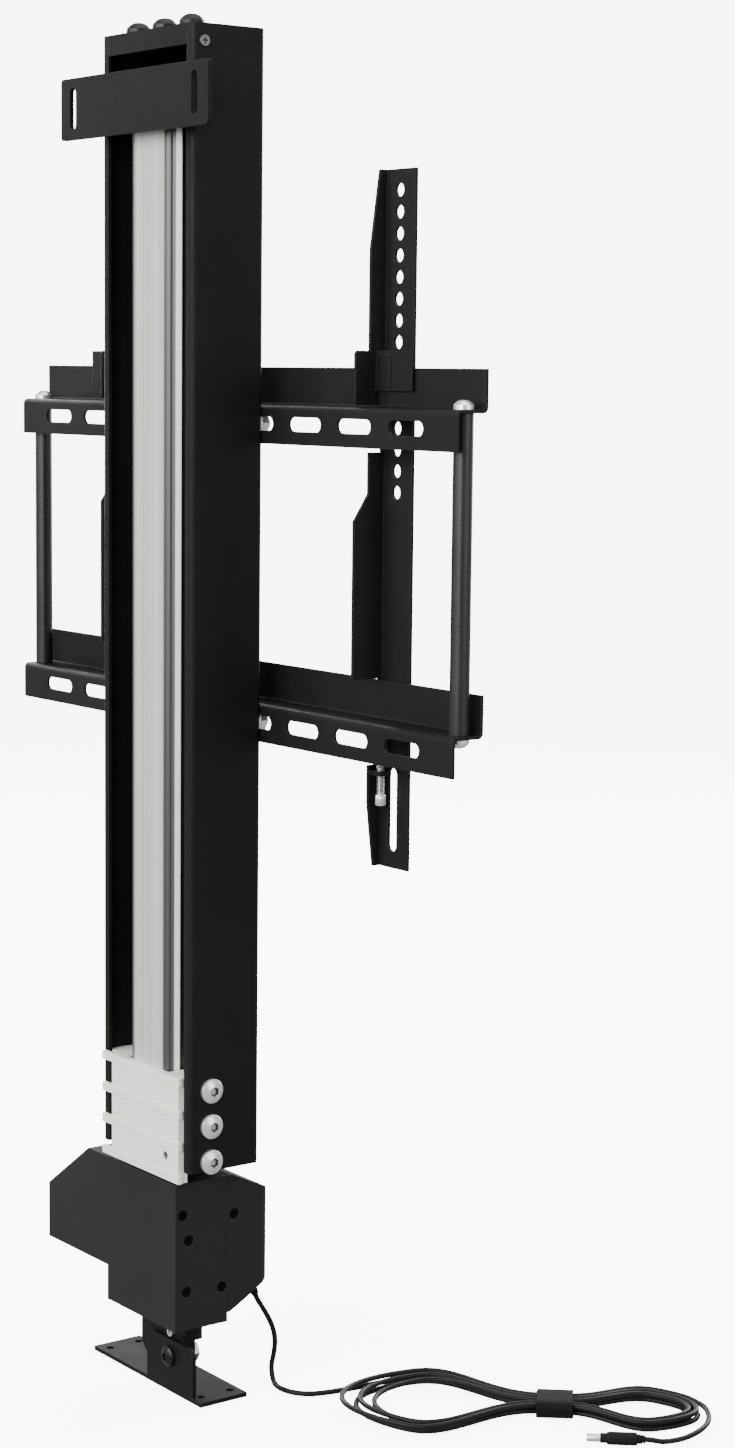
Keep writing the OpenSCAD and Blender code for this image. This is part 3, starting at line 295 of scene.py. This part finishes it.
def profile_metal():
    """Drawn aluminium: streaks along its length, a painted highlight on the flanks, and painted shade in the
    glide grooves and round the corners.
    """
    mat, tree, shader = start_material("brushed_profile")
    spot = node(tree, "ShaderNodeTexCoord").outputs["Object"]
    across = size_along(tree, spot, "X")
    depth = size_along(tree, spot, "Y")
    half_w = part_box("guide_profile")[1][0]
    half_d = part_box("guide_profile")[1][1]

    def inset(value, half, start, end):
        """0 at start and 1 at end, in millimetres in from the profile's outside."""
        return mapped(tree, value, half - start * MM, half - end * MM)

    fine = noise(tree, place(tree, (1.0, 1.0, 0.012)), 2600.0, 6.0, 0.65)
    broad = noise(tree, place(tree, (1.0, 1.0, 0.004)), 260.0, 3.0)
    streaks = node(tree, "ShaderNodeMath", operation="ADD")
    tree.links.new(fine, streaks.inputs[0])
    tree.links.new(broad, streaks.inputs[1])
    spread = mapped(tree, streaks.outputs["Value"], 0.7, 1.3)
    tone = ramp(tree, spread, colour(0.38, 0.38, 0.37), colour(0.62, 0.62, 0.61), 0.0, 1.0)

    # The outermost faces at the sides: a painted highlight near the rear and front, and painted shade farther
    # in
    flank = inset(across, half_w, 0.3, 0.1)
    tone = blend_colour(tree, flank, tone, colour(0.96, 0.96, 0.95))
    inward_painted_shade = times(tree, flank, inset(depth, half_d, 9.0, 10.0))
    tone = blend_colour(tree, inward_painted_shade, tone, grey(0.06))

    # Painted shade on the floor of the grooves: faces square to X a little way in from the flank
    normal = node(tree, "ShaderNodeNewGeometry").outputs["True Normal"]
    square = mapped(tree, size_along(tree, normal, "X"), 0.9, 0.99)
    groove_shade_band = times(tree, inset(across, half_w, 0.6, 1.0), inset(across, half_w, 3.3, 2.9))
    tone = blend_colour(tree, times(tree, groove_shade_band, square), tone, grey(0.08))

    # Painted shade on the rounded corners
    corner_painted_shade = times(tree, inset(across, half_w, 6.8, 4.4), inset(depth, half_d, 5.8, 4.8))
    tone = blend_colour(tree, corner_painted_shade, tone, grey(0.05))
    tree.links.new(tone, shader.inputs["Base Color"])
    tree.links.new(ramp(tree, flank, grey(0.5), grey(0.0), 0.0, 1.0), shader.inputs["Metallic"])
    tree.links.new(ramp(tree, broad, grey(0.3), grey(0.46)), shader.inputs["Roughness"])

    # The flanks take the light as if they leaned towards the rear
    lean = node(tree, "ShaderNodeVectorMath", operation="SCALE")
    lean.inputs[0].default_value = (0.0, -1.3, 0.0)
    tree.links.new(flank, lean.inputs["Scale"])
    rolled = node(tree, "ShaderNodeVectorMath", operation="ADD")
    tree.links.new(soft_edge(tree, 0.6 * MM), rolled.inputs[0])
    tree.links.new(lean.outputs["Vector"], rolled.inputs[1])
    level = node(tree, "ShaderNodeVectorMath", operation="NORMALIZE")
    tree.links.new(rolled.outputs["Vector"], level.inputs[0])
    grain = bump(tree, fine, 0.22, BRUSH_DEPTH, level.outputs["Vector"])
    tree.links.new(grain, shader.inputs["Normal"])
    return mat


def woven(name, low, high):
    """Hook-and-loop strap: a fine weave with loose loops, hardly any gloss."""
    mat, tree, shader = start_material(name)
    where = place(tree)
    rows = node(tree, "ShaderNodeTexWave", wave_type="BANDS", bands_direction="DIAGONAL", Scale=420.0,
                Distortion=1.6)
    tree.links.new(where, rows.inputs["Vector"])
    loops = noise(tree, where, 2200.0, 4.0, 0.7)
    weave = times(tree, rows.outputs["Fac"], loops)
    tree.links.new(ramp(tree, weave, low, high, 0.1, 0.5), shader.inputs["Base Color"])
    tree.links.new(ramp(tree, loops, grey(0.8), grey(0.96)), shader.inputs["Roughness"])
    tree.links.new(bump(tree, weave, 0.6, 0.4 * MM), shader.inputs["Normal"])
    shader.inputs["Specular IOR Level"].default_value = 0.08
    shader.inputs["Sheen Weight"].default_value = 0.02
    return mat


# Finishes

steel_black = coated("black_powder_coat", colour(0.0048, 0.0045, 0.0045), colour(0.007, 0.0066, 0.0065),
                     0.42, 0.58, specular=0.08, worn_and_highlit=grey(0.032))
rail_black = coated("black_rail_coat", colour(0.0053, 0.0051, 0.0051), colour(0.0078, 0.0076, 0.0075),
                    0.42, 0.58, specular=0.1, worn_and_highlit=grey(0.034))
tube_black = coated("black_tube_coat", grey(0.005), grey(0.0075), 0.3, 0.42, specular=0.33, worn_and_highlit=grey(0.032))
plastic_black = coated("black_plastic", grey(0.004), grey(0.0065), 0.5, 0.66, grain=1500.0, strength=0.2,
                       specular=0.08)
plastic_housing = coated("housing_plastic", colour(0.0105, 0.0105, 0.0108), colour(0.0138, 0.0138, 0.0142),
                         0.5, 0.68, grain=1300.0, strength=0.45, edge=0.9 * MM, specular=0.1,
                         worn_and_highlit=colour(0.034, 0.034, 0.035))
bolt_black = coated("black_bolt_finish", grey(0.003), grey(0.006), 0.3, 0.45, grain=700.0, strength=0.15,
                    specular=0.2)
# Darker than the other black bolts: painted shade of the holes that the housing screws sit in
shaded_screw_black = coated("black_screw_painted_shade", grey(0.0012), grey(0.0022), 0.5, 0.62, grain=700.0,
                      strength=0.15, specular=0.04)
plastic_pale = coated("pale_acetal", colour(0.62, 0.6, 0.54), colour(0.7, 0.68, 0.62), 0.4, 0.52,
                      grain=600.0, strength=0.1)
alloy_profile = profile_metal()
alloy_block = metal("matte_block_alloy", colour(0.7, 0.7, 0.685), colour(0.8, 0.8, 0.785), 0.5, 0.62,
                    1500.0, 0.3, edge=0.7 * MM, metallic=0.35, recess_shade=grey(0.03), recess=BLIND_HOLE)
zinc = metal("zinc_plate", grey(0.6), colour(0.76, 0.76, 0.75), 0.22, 0.34, 700.0, 0.12, metallic=0.85,
             recess_shade=grey(0.06))
dull_zinc = metal("dull_zinc", grey(0.09), grey(0.14), 0.34, 0.46, 700.0, 0.12, metallic=0.85,
                  recess_shade=grey(0.03))
screw_steel = metal("screw_steel", grey(0.4), colour(0.56, 0.56, 0.55), 0.26, 0.38, 900.0, 0.12,
                    stretch=(1.0, 1.0, 0.2))
cable_skin = coated("cable_skin", grey(0.0032), grey(0.0055), 0.42, 0.55, grain=1800.0, strength=0.12,
                    edge=0.2 * MM, specular=0.14)
strap_cloth = woven("strap_cloth", grey(0.002), grey(0.006))

finish_of_slot = {
    "profile_aluminium": alloy_profile, "block_alloy": alloy_block, "black_steel": steel_black,
    "black_bolts": bolt_black, "zinc_steel": zinc, "housing_plastic": plastic_housing,
    "black_plastic": plastic_black, "pale_plastic": plastic_pale, "cable_black": cable_skin,
}
# Nodes whose tone in the photograph differs from the rest of their slot
finish_of_node = {
    "housing_screws": shaded_screw_black, "cap_side_screws": dull_zinc, "left_tube": tube_black,
    "right_tube": tube_black, "upper_rail": rail_black, "lower_rail": rail_black, "left_arm": rail_black,
    "right_arm": rail_black,
}
for part in frame["record"]["subparts"]:
    solid = nodes[part["node"]]
    solid.data.materials.clear()
    solid.data.materials.append(finish_of_node.get(part["node"], finish_of_slot[part["material_slot"]]))


# Cable: the points of the solids' own route, in millimetres

CABLE_D = 3.6
FLOOR = CABLE_D / 2
# Bore of the gland and the plug's boot, just clear of the cable
CABLE_BORE = 1.86
PLUG_R = 4.2
GLAND_SEAT = Vector((32.0, 40.0, 74.5))
GLAND_DIR = Vector((0.0, 6.0, -10.0)).normalized()
GLAND_L = 8.0
# How far the cable starts inside the gland's tip
CABLE_SUNK = 3
LEAD = [(32, 46.1, 63.2), (32, 51, 55.5), (32, 56, 47), (31, 60, 38.5), (30, 62, 30), (28, 62.5, 21.5),
        (25.6, 62.5, 13), (26.4, 62.1, 7), (30, 61, 3.1), (35.5, 59.3, FLOOR), (44, 58.3, FLOOR),
        (54, 61, FLOOR), (62, 68, FLOOR), (66, 78, FLOOR), (68.5, 89, FLOOR), (70.5, 102, FLOOR)]
# The lead runs straight for this length before the hank
LEAD_STRAIGHT = 5.4
TAIL = [(97.5, 6.5, 5.6), (100.5, -6, 4.8), (99, -19.5, 3.8), (92.5, -32, 2.8), (82, -43, 2),
        (70.5, -50, 2.4), (63, -52.3, 3.9), (59.5, -52.3, PLUG_R), (56, -52.3, PLUG_R)]
PLUG_BACK = (54.4, -52.3, PLUG_R)
ROUTE_STEPS = 8

HANK_MID = (178.0, 184.0)
HANK_HEADING = math.radians(49.3)
HANK_START = 145
HANK_TURNS = 4.344
# Rings of the solid in a turn, and the points that this cable has for each of them
HANK_RINGS = 24
HANK_FINER = 9
LAYER_TURNS = 2
LAYER_H = 4.4
# The climb to the second layer: how many turns before its first one it starts, and how many it takes
CLIMB_AHEAD = 0.3
CLIMB_TURNS = 0.38
WAIST_RISE = 1.3
WAIST_HALF = 0.4
STRAND_GAP = 4.6
# Each lobe: length, what a turn takes off it, half width, what a turn takes off it, length of its shoulder
PLUG_LOBE = (96, 5.2, 41, 5.2, 66)
LEAD_LOBE = (142, 12, 68, 7, 96)


def from_hank(a, b, z):
    """A place in the hank's own axes, in the row frame."""
    c = math.cos(HANK_HEADING)
    s = math.sin(HANK_HEADING)
    return Vector((HANK_MID[0] + a * c - b * s, HANK_MID[1] + a * s + b * c, z))


def hank_spot(t):
    """Place in the hank after t turns: lobes shrink for one layer, climb to the next and grow again."""
    k = t if t < LAYER_TURNS else 2 * LAYER_TURNS - t
    angle = math.radians(HANK_START - 360 * t)
    c = math.cos(angle)
    s = math.sin(angle)
    long, long_step, wide, wide_step, shoulder = PLUG_LOBE if c > 0 else LEAD_LOBE
    length = long - long_step * k
    width = wide - wide_step * k
    waist = WAIST_HALF + STRAND_GAP * (LAYER_TURNS - k)
    opened = math.sin(math.pi / 2 * min(1, abs(c) * length / shoulder)) ** 3
    climb = max(0, min(1, (t - LAYER_TURNS + CLIMB_AHEAD) / CLIMB_TURNS))
    height = LAYER_H * climb * climb * (3 - 2 * climb) + WAIST_RISE * (1 - opened)
    return from_hank(c * length, s * (waist + (width - waist) * opened), FLOOR + height)


def smooth_route(points, steps):
    """Points on a smooth curve through the given ones."""
    out = []
    last = len(points) - 1
    for i in range(last):
        p0 = points[max(0, i - 1)]
        p1 = points[i]
        p2 = points[i + 1]
        p3 = points[min(last, i + 2)]
        for k in range(steps):
            t = k / steps
            out.append(0.5 * (2 * p1 + (p2 - p0) * t + (2 * p0 - 5 * p1 + 4 * p2 - p3) * t * t
                              + (3 * p1 - p0 - 3 * p2 + p3) * t ** 3))
    out.append(points[last])
    return out


def cable_points():
    """The whole route: out of the gland, down to the floor, round the hank and into the plug."""
    tip = GLAND_SEAT + GLAND_L * GLAND_DIR
    start = tip - CABLE_SUNK * GLAND_DIR
    last = int(HANK_TURNS * HANK_RINGS) * HANK_FINER
    turns = [hank_spot(i / (HANK_RINGS * HANK_FINER)) for i in range(last + 1)]
    before = turns[0] - LEAD_STRAIGHT * (turns[1] - turns[0]).normalized()
    lead = [tip] + [Vector(p) for p in LEAD] + [before]
    tail = [turns[-1]] + [from_hank(*p) for p in TAIL]
    return [start] + smooth_route(lead, ROUTE_STEPS) + turns + smooth_route(tail, ROUTE_STEPS)[1:]


def add_cable():
    """The cable as one tube, with its points in millimetres and its length in metres."""
    points = cable_points()
    data = bpy.data.curves.new("cable_run", "CURVE")
    data.dimensions = "3D"
    data.bevel_depth = CABLE_D / 2 * MM
    data.bevel_resolution = 4
    data.use_fill_caps = True
    line = data.splines.new("POLY")
    line.points.add(len(points) - 1)
    for spot, p in zip(line.points, points):
        spot.co = (p.x / 1000, p.y / 1000, p.z / 1000, 1)
    line.use_smooth = True
    piece = bpy.data.objects.new("cable_run", data)
    bpy.context.collection.objects.link(piece)
    data.materials.append(cable_skin)
    length = sum((b - a).length for a, b in zip(points, points[1:])) / 1000
    return piece, points, length


# Turned and wound detail, in millimetres

def grid_faces(rows, around):
    """Faces of a closed tube of rings, each with the same number of points."""
    faces = []
    for i in range(rows - 1):
        for k in range(around):
            n = (k + 1) % around
            faces.append((i * around + k, i * around + n, (i + 1) * around + n, (i + 1) * around + k))
    faces.append(tuple(range(around))[::-1])
    faces.append(tuple((rows - 1) * around + k for k in range(around)))
    return faces


def turned(name, profile, base, axis, material, around=40, shape=None):
    """A turned piece from (distance, radius) pairs along an axis from base. shape alters a radius."""
    axis = Vector(axis).normalized()
    side = axis.orthogonal().normalized()
    other = axis.cross(side)
    verts = []
    for along, radius in profile:
        for k in range(around):
            angle = 2 * math.pi * k / around
            r = shape(along, radius, angle) if shape else radius
            spot = Vector(base) + along * axis + r * (math.cos(angle) * side + math.sin(angle) * other)
            verts.append(spot / 1000)
    return new_mesh(name, verts, grid_faces(len(profile), around), material)


def threaded(name, centre, spans, thread, lead, starts, depth, material, step):
    """A round bar along Z. spans are its plain (z0, z1, radius) parts, thread the part with the thread."""
    x, y = centre
    # One start of the thread as (share of the pitch, share of the depth): root, flank, crest, flank
    tooth = [(0.0, 1.0), (0.24, 1.0), (0.42, 0.0), (0.58, 0.0), (0.76, 1.0)]
    around = len(tooth) * starts
    verts = []

    def ring(z, size, cut_depth, turn):
        for s in range(starts):
            for share, deep in tooth:
                angle = 2 * math.pi * (s + share) / starts + turn
                r = size - deep * cut_depth
                verts.append(Vector((x + r * math.cos(angle), y + r * math.sin(angle), z)) / 1000)

    def plain(parts):
        for z0, z1, r in parts:
            ring(z0, r, 0, 0)
            ring(z1, r, 0, 0)

    low, high, radius = thread
    plain([s for s in spans if s[0] < low])
    count = max(2, int((high - low) / step))
    for i in range(count + 1):
        z = low + (high - low) * i / count
        # The thread runs out over half a turn at each end
        fade = min(1.0, (z - low) / lead * 2, (high - z) / lead * 2)
        ring(z, radius - 0.2 * depth * (1 - fade), depth * fade, 2 * math.pi * (z - low) / lead)
    plain([s for s in spans if s[0] >= low])
    piece = new_mesh(name, verts, grid_faces(len(verts) // around, around), material)
    sharpen(piece, 30)
    return piece


def add_drive_screw():
    """Four-start trapezoidal drive screw with plain journals."""
    screw_r = 7.0
    lead = 12.0
    starts = 4
    thread_depth = 1.1
    journal_r = 5.0
    journal_l = 11
    below_profile = 2.2
    ring_step = 0.6
    low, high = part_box("lead_screw")
    bottom = low[2] * 1000
    top = high[2] * 1000
    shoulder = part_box("guide_profile")[0][2] * 1000 - below_profile
    journals = [(bottom, shoulder, journal_r), (top - journal_l, top, journal_r)]
    piece = threaded("drive_screw", (0, 0), journals, (shoulder, top - journal_l, screw_r), lead, starts,
                     thread_depth, screw_steel, ring_step)
    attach(piece, "screw")
    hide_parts("lead_screw")


def add_lock_screw(side):
    """Threaded locking rod under the lower rail with a knurled head."""
    low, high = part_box(side + "_lock_screw")
    x = (low[0] + high[0]) * 500
    y = (low[1] + high[1]) * 500
    bottom = low[2] * 1000
    length = high[2] * 1000 - bottom
    head_r = (high[0] - low[0]) * 500
    head_h = 7
    head_edge = 0.6
    knurls = 20
    knurl_depth = 0.25
    root_r = 2.1
    crest_r = 2.5
    tip_r = 2.0
    pitch = 0.8
    sunk = 3
    bar = [(head_h - sunk, root_r), (head_h + 1, root_r)]
    while bar[-1][0] + pitch < length - 0.6:
        s = bar[-1][0]
        bar += [(s + 0.45 * pitch, crest_r), (s + 0.55 * pitch, crest_r), (s + pitch, root_r)]
    bar += [(length - 0.5, crest_r), (length - 0.4, crest_r), (length, tip_r)]
    rod = turned(side + "_lock_rod", bar, (x, y, bottom), (0, 0, 1), zinc, 32)
    sharpen(rod, 30)

    def knurl(s, r, angle):
        deep = knurl_depth if r > head_r - 0.1 else 0.0
        return r - deep * (0.5 + 0.5 * math.cos(knurls * angle))

    knob = [(0, 1.0), (0, head_r - head_edge), (head_edge, head_r), (head_h - head_edge, head_r),
            (head_h, head_r - head_edge), (head_h, tip_r)]
    head = turned(side + "_lock_head", knob, (x, y, bottom), (0, 0, 1), zinc, 80, knurl)
    sharpen(head)
    head.parent = rod
    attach(rod, side + "_tv_arm")
    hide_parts(side + "_lock_screw")


def add_gland():
    """Ribbed strain relief where the cable leaves the housing."""
    stem_r = 3.2
    stem_l = 4.9
    flange_r = 4.4
    ribs = 4
    rib_first = 1.9
    rib_pitch = 1.5
    profile = [(-stem_l, CABLE_BORE), (-stem_l, stem_r), (0.1, stem_r), (0.1, flange_r),
               (1.5, flange_r - 0.1), (1.7, 3.4)]
    for i in range(ribs):
        s = rib_first + i * rib_pitch
        outer = 4.05 - 0.21 * s
        profile += [(s, outer - 0.55), (s + 0.2, outer), (s + 0.95, outer - 0.15), (s + 1.15, outer - 0.6)]
    profile += [(GLAND_L, 2.6), (GLAND_L, CABLE_BORE)]
    piece = turned("strain_relief", profile, GLAND_SEAT, GLAND_DIR, plastic_black, 36)
    sharpen(piece, 50)
    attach(piece, "column")
    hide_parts("cable_gland")


def add_plug():
    """Low-voltage plug on the floor: ribbed boot, fluted grip and a metal barrel."""
    back = from_hank(*PLUG_BACK)
    axis = Vector((-math.cos(HANK_HEADING), -math.sin(HANK_HEADING), 0))
    ribs = 3
    rib_pitch = 1.5
    flute_count = 12
    flute_depth = 0.35
    collar_r = 3.2
    barrel_r = 2.6
    barrel_end = 34.0
    boot = [(-3.6, CABLE_BORE), (-3.6, 2.5)]
    for i in range(ribs):
        s = -3.2 + i * rib_pitch
        r = 2.3 + 0.3 * i
        boot += [(s, r + 0.4), (s + 0.9, r + 0.5), (s + 1.0, r), (s + 1.4, r)]
    boot += [(1.4, 3.6), (2.6, 4.1), (3.4, PLUG_R), (18.6, PLUG_R), (20.2, 4.05), (21.0, 3.6)]
    boot += [(21.1, collar_r), (25.1, collar_r), (25.2, 2.9), (25.2, 1.0)]

    def flutes(s, r, angle):
        deep = flute_depth if 3.3 < s < 19 and r > PLUG_R - 0.05 else 0.0
        return r - deep * (0.5 + 0.5 * math.cos(flute_count * angle)) ** 2

    grip = turned("plug_grip", boot, back, axis, plastic_black, 96, flutes)
    sharpen(grip, 45)
    sleeve = [(24.8, barrel_r), (33.4, barrel_r), (barrel_end, 2.35), (barrel_end, 1.5), (27.0, 1.4),
              (27.0, 0.2)]
    barrel = turned("plug_barrel", sleeve, back, axis, zinc, 40)
    sharpen(barrel, 45)
    barrel.parent = grip
    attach(grip, "column")
    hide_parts("cable_plug")
    return grip


def add_strap():
    """Hook-and-loop strap wound once and a third round the hank's waist, its free end on top."""
    half_w = 16.1
    half_h = 4.8
    width = 24.0
    thickness = 0.9
    start = 118
    winding = 1.34
    # Turns after which the strap climbs on its own first turn, and after which its end comes free
    overlap_from = 0.93
    overlap_climb = 0.09
    free_from = 1.24
    free_turns = 0.1
    free_rise = 0.9
    layer = 1.05
    waviness = 0.35
    floor_gap = 0.55
    rows = 112
    across = 9
    verts = []
    for i in range(rows + 1):
        turn = i / rows * winding
        angle = math.radians(start) - 2 * math.pi * turn
        lift = layer * max(0.0, min(1.0, (turn - overlap_from) / overlap_climb))
        c = math.cos(angle)
        s = math.sin(angle)
        b = math.copysign(abs(c) ** 0.5, c) * (half_w + lift)
        h = math.copysign(abs(s) ** 0.7, s) * (half_h + lift)
        h = max(h, -half_h + 0.05)
        free = max(0.0, (turn - free_from) / free_turns)
        h += free_rise * free * free
        for k in range(across):
            share = k / (across - 1) - 0.5
            wave = waviness * math.sin(9 * turn + 5 * share)
            narrow = 1.0 - 0.1 * free * free
            verts.append(from_hank(share * width * narrow + wave, b, half_h + floor_gap + h) / 1000)
    faces = []
    for i in range(rows):
        for k in range(across - 1):
            spot = i * across + k
            faces.append((spot, spot + 1, spot + across + 1, spot + across))
    piece = new_mesh("cable_strap", verts, faces, strap_cloth)
    shell = piece.modifiers.new("thickness", "SOLIDIFY")
    shell.thickness = thickness * MM
    shell.offset = 0.0
    bevel(piece, 0.25 * MM)
    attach(piece, "column")
    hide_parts("cable_tie")
    return piece


cable, cable_line, cable_length = add_cable()
plug = add_plug()
strap = add_strap()
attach(cable, "column")
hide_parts("power_cable", "cable_hank")
add_gland()
add_drive_screw()
for arm_side in ("left", "right"):
    add_lock_screw(arm_side)


# Stage: pale floor and soft studio light

FLOOR_HALF = 40.0
FLOOR_Z = -0.2 * MM
FLOOR_GLOW = 7.0
WORLD_LIGHT = 0.7
WORLD_SEEN = 7.6
WHITE = grey(1.0)
# Lamps: name, place, point that it faces, side of its square, watts
LAMPS = [
    ("key", (-0.5, -2.5, 1.6), (0, 0, 0.45), 1.8, 106),
    ("side", (2.3, 0.5, 1.2), (0, 0, 0.45), 1.6, 28),
    ("front", (1.1, -2.2, 1.2), (0, 0, 0.45), 1.2, 80),
    ("top", (0.3, 0.0, 2.6), (0, 0, 0.3), 2.0, 35),
    ("tv_side", (-0.6, 2.5, 1.5), (0, 0, 0.45), 1.8, 130),
    ("far_side", (-2.4, 0.4, 1.2), (0, 0, 0.45), 1.6, 70),
]


def add_floor():
    """White floor that glows like the backdrop but lights nothing."""
    mat, tree, shader = start_material("floor_white")
    dust = noise(tree, place(tree), 3.0, 4.0)
    tree.links.new(ramp(tree, dust, grey(0.9), grey(0.93)), shader.inputs["Base Color"])
    shader.inputs["Roughness"].default_value = 0.7
    shader.inputs["Specular IOR Level"].default_value = 0.1
    shader.inputs["Emission Color"].default_value = WHITE
    shader.inputs["Emission Strength"].default_value = FLOOR_GLOW
    corners = [(-FLOOR_HALF, -FLOOR_HALF, FLOOR_Z), (FLOOR_HALF, -FLOOR_HALF, FLOOR_Z),
               (FLOOR_HALF, FLOOR_HALF, FLOOR_Z), (-FLOOR_HALF, FLOOR_HALF, FLOOR_Z)]
    floor = new_mesh("floor", corners, [(0, 1, 2, 3)], mat, False)
    floor.visible_diffuse = False
    floor.visible_glossy = False


def add_world():
    """Dim white light all round, seen as a bright white backdrop."""
    world = bpy.data.worlds.new("studio")
    bpy.context.scene.world = world
    world.use_nodes = True
    tree = world.node_tree
    light = tree.nodes["Background"]
    light.inputs["Color"].default_value = WHITE
    light.inputs["Strength"].default_value = WORLD_LIGHT
    seen = node(tree, "ShaderNodeBackground", Color=WHITE, Strength=WORLD_SEEN)
    rays = node(tree, "ShaderNodeLightPath")
    choice = node(tree, "ShaderNodeMixShader")
    tree.links.new(rays.outputs["Is Camera Ray"], choice.inputs["Fac"])
    tree.links.new(light.outputs["Background"], choice.inputs[1])
    tree.links.new(seen.outputs["Background"], choice.inputs[2])
    tree.links.new(choice.outputs["Shader"], tree.nodes["World Output"].inputs["Surface"])


def add_lamp(name, where, aim, size, power):
    data = bpy.data.lights.new(name, "AREA")
    data.shape = "SQUARE"
    data.size = size
    data.energy = power
    lamp = bpy.data.objects.new(name, data)
    lamp.location = where
    toward = Vector(aim) - Vector(where)
    lamp.rotation_euler = toward.to_track_quat("-Z", "Y").to_euler()
    bpy.context.collection.objects.link(lamp)


add_floor()
add_world()
for lamp_values in LAMPS:
    add_lamp(*lamp_values)
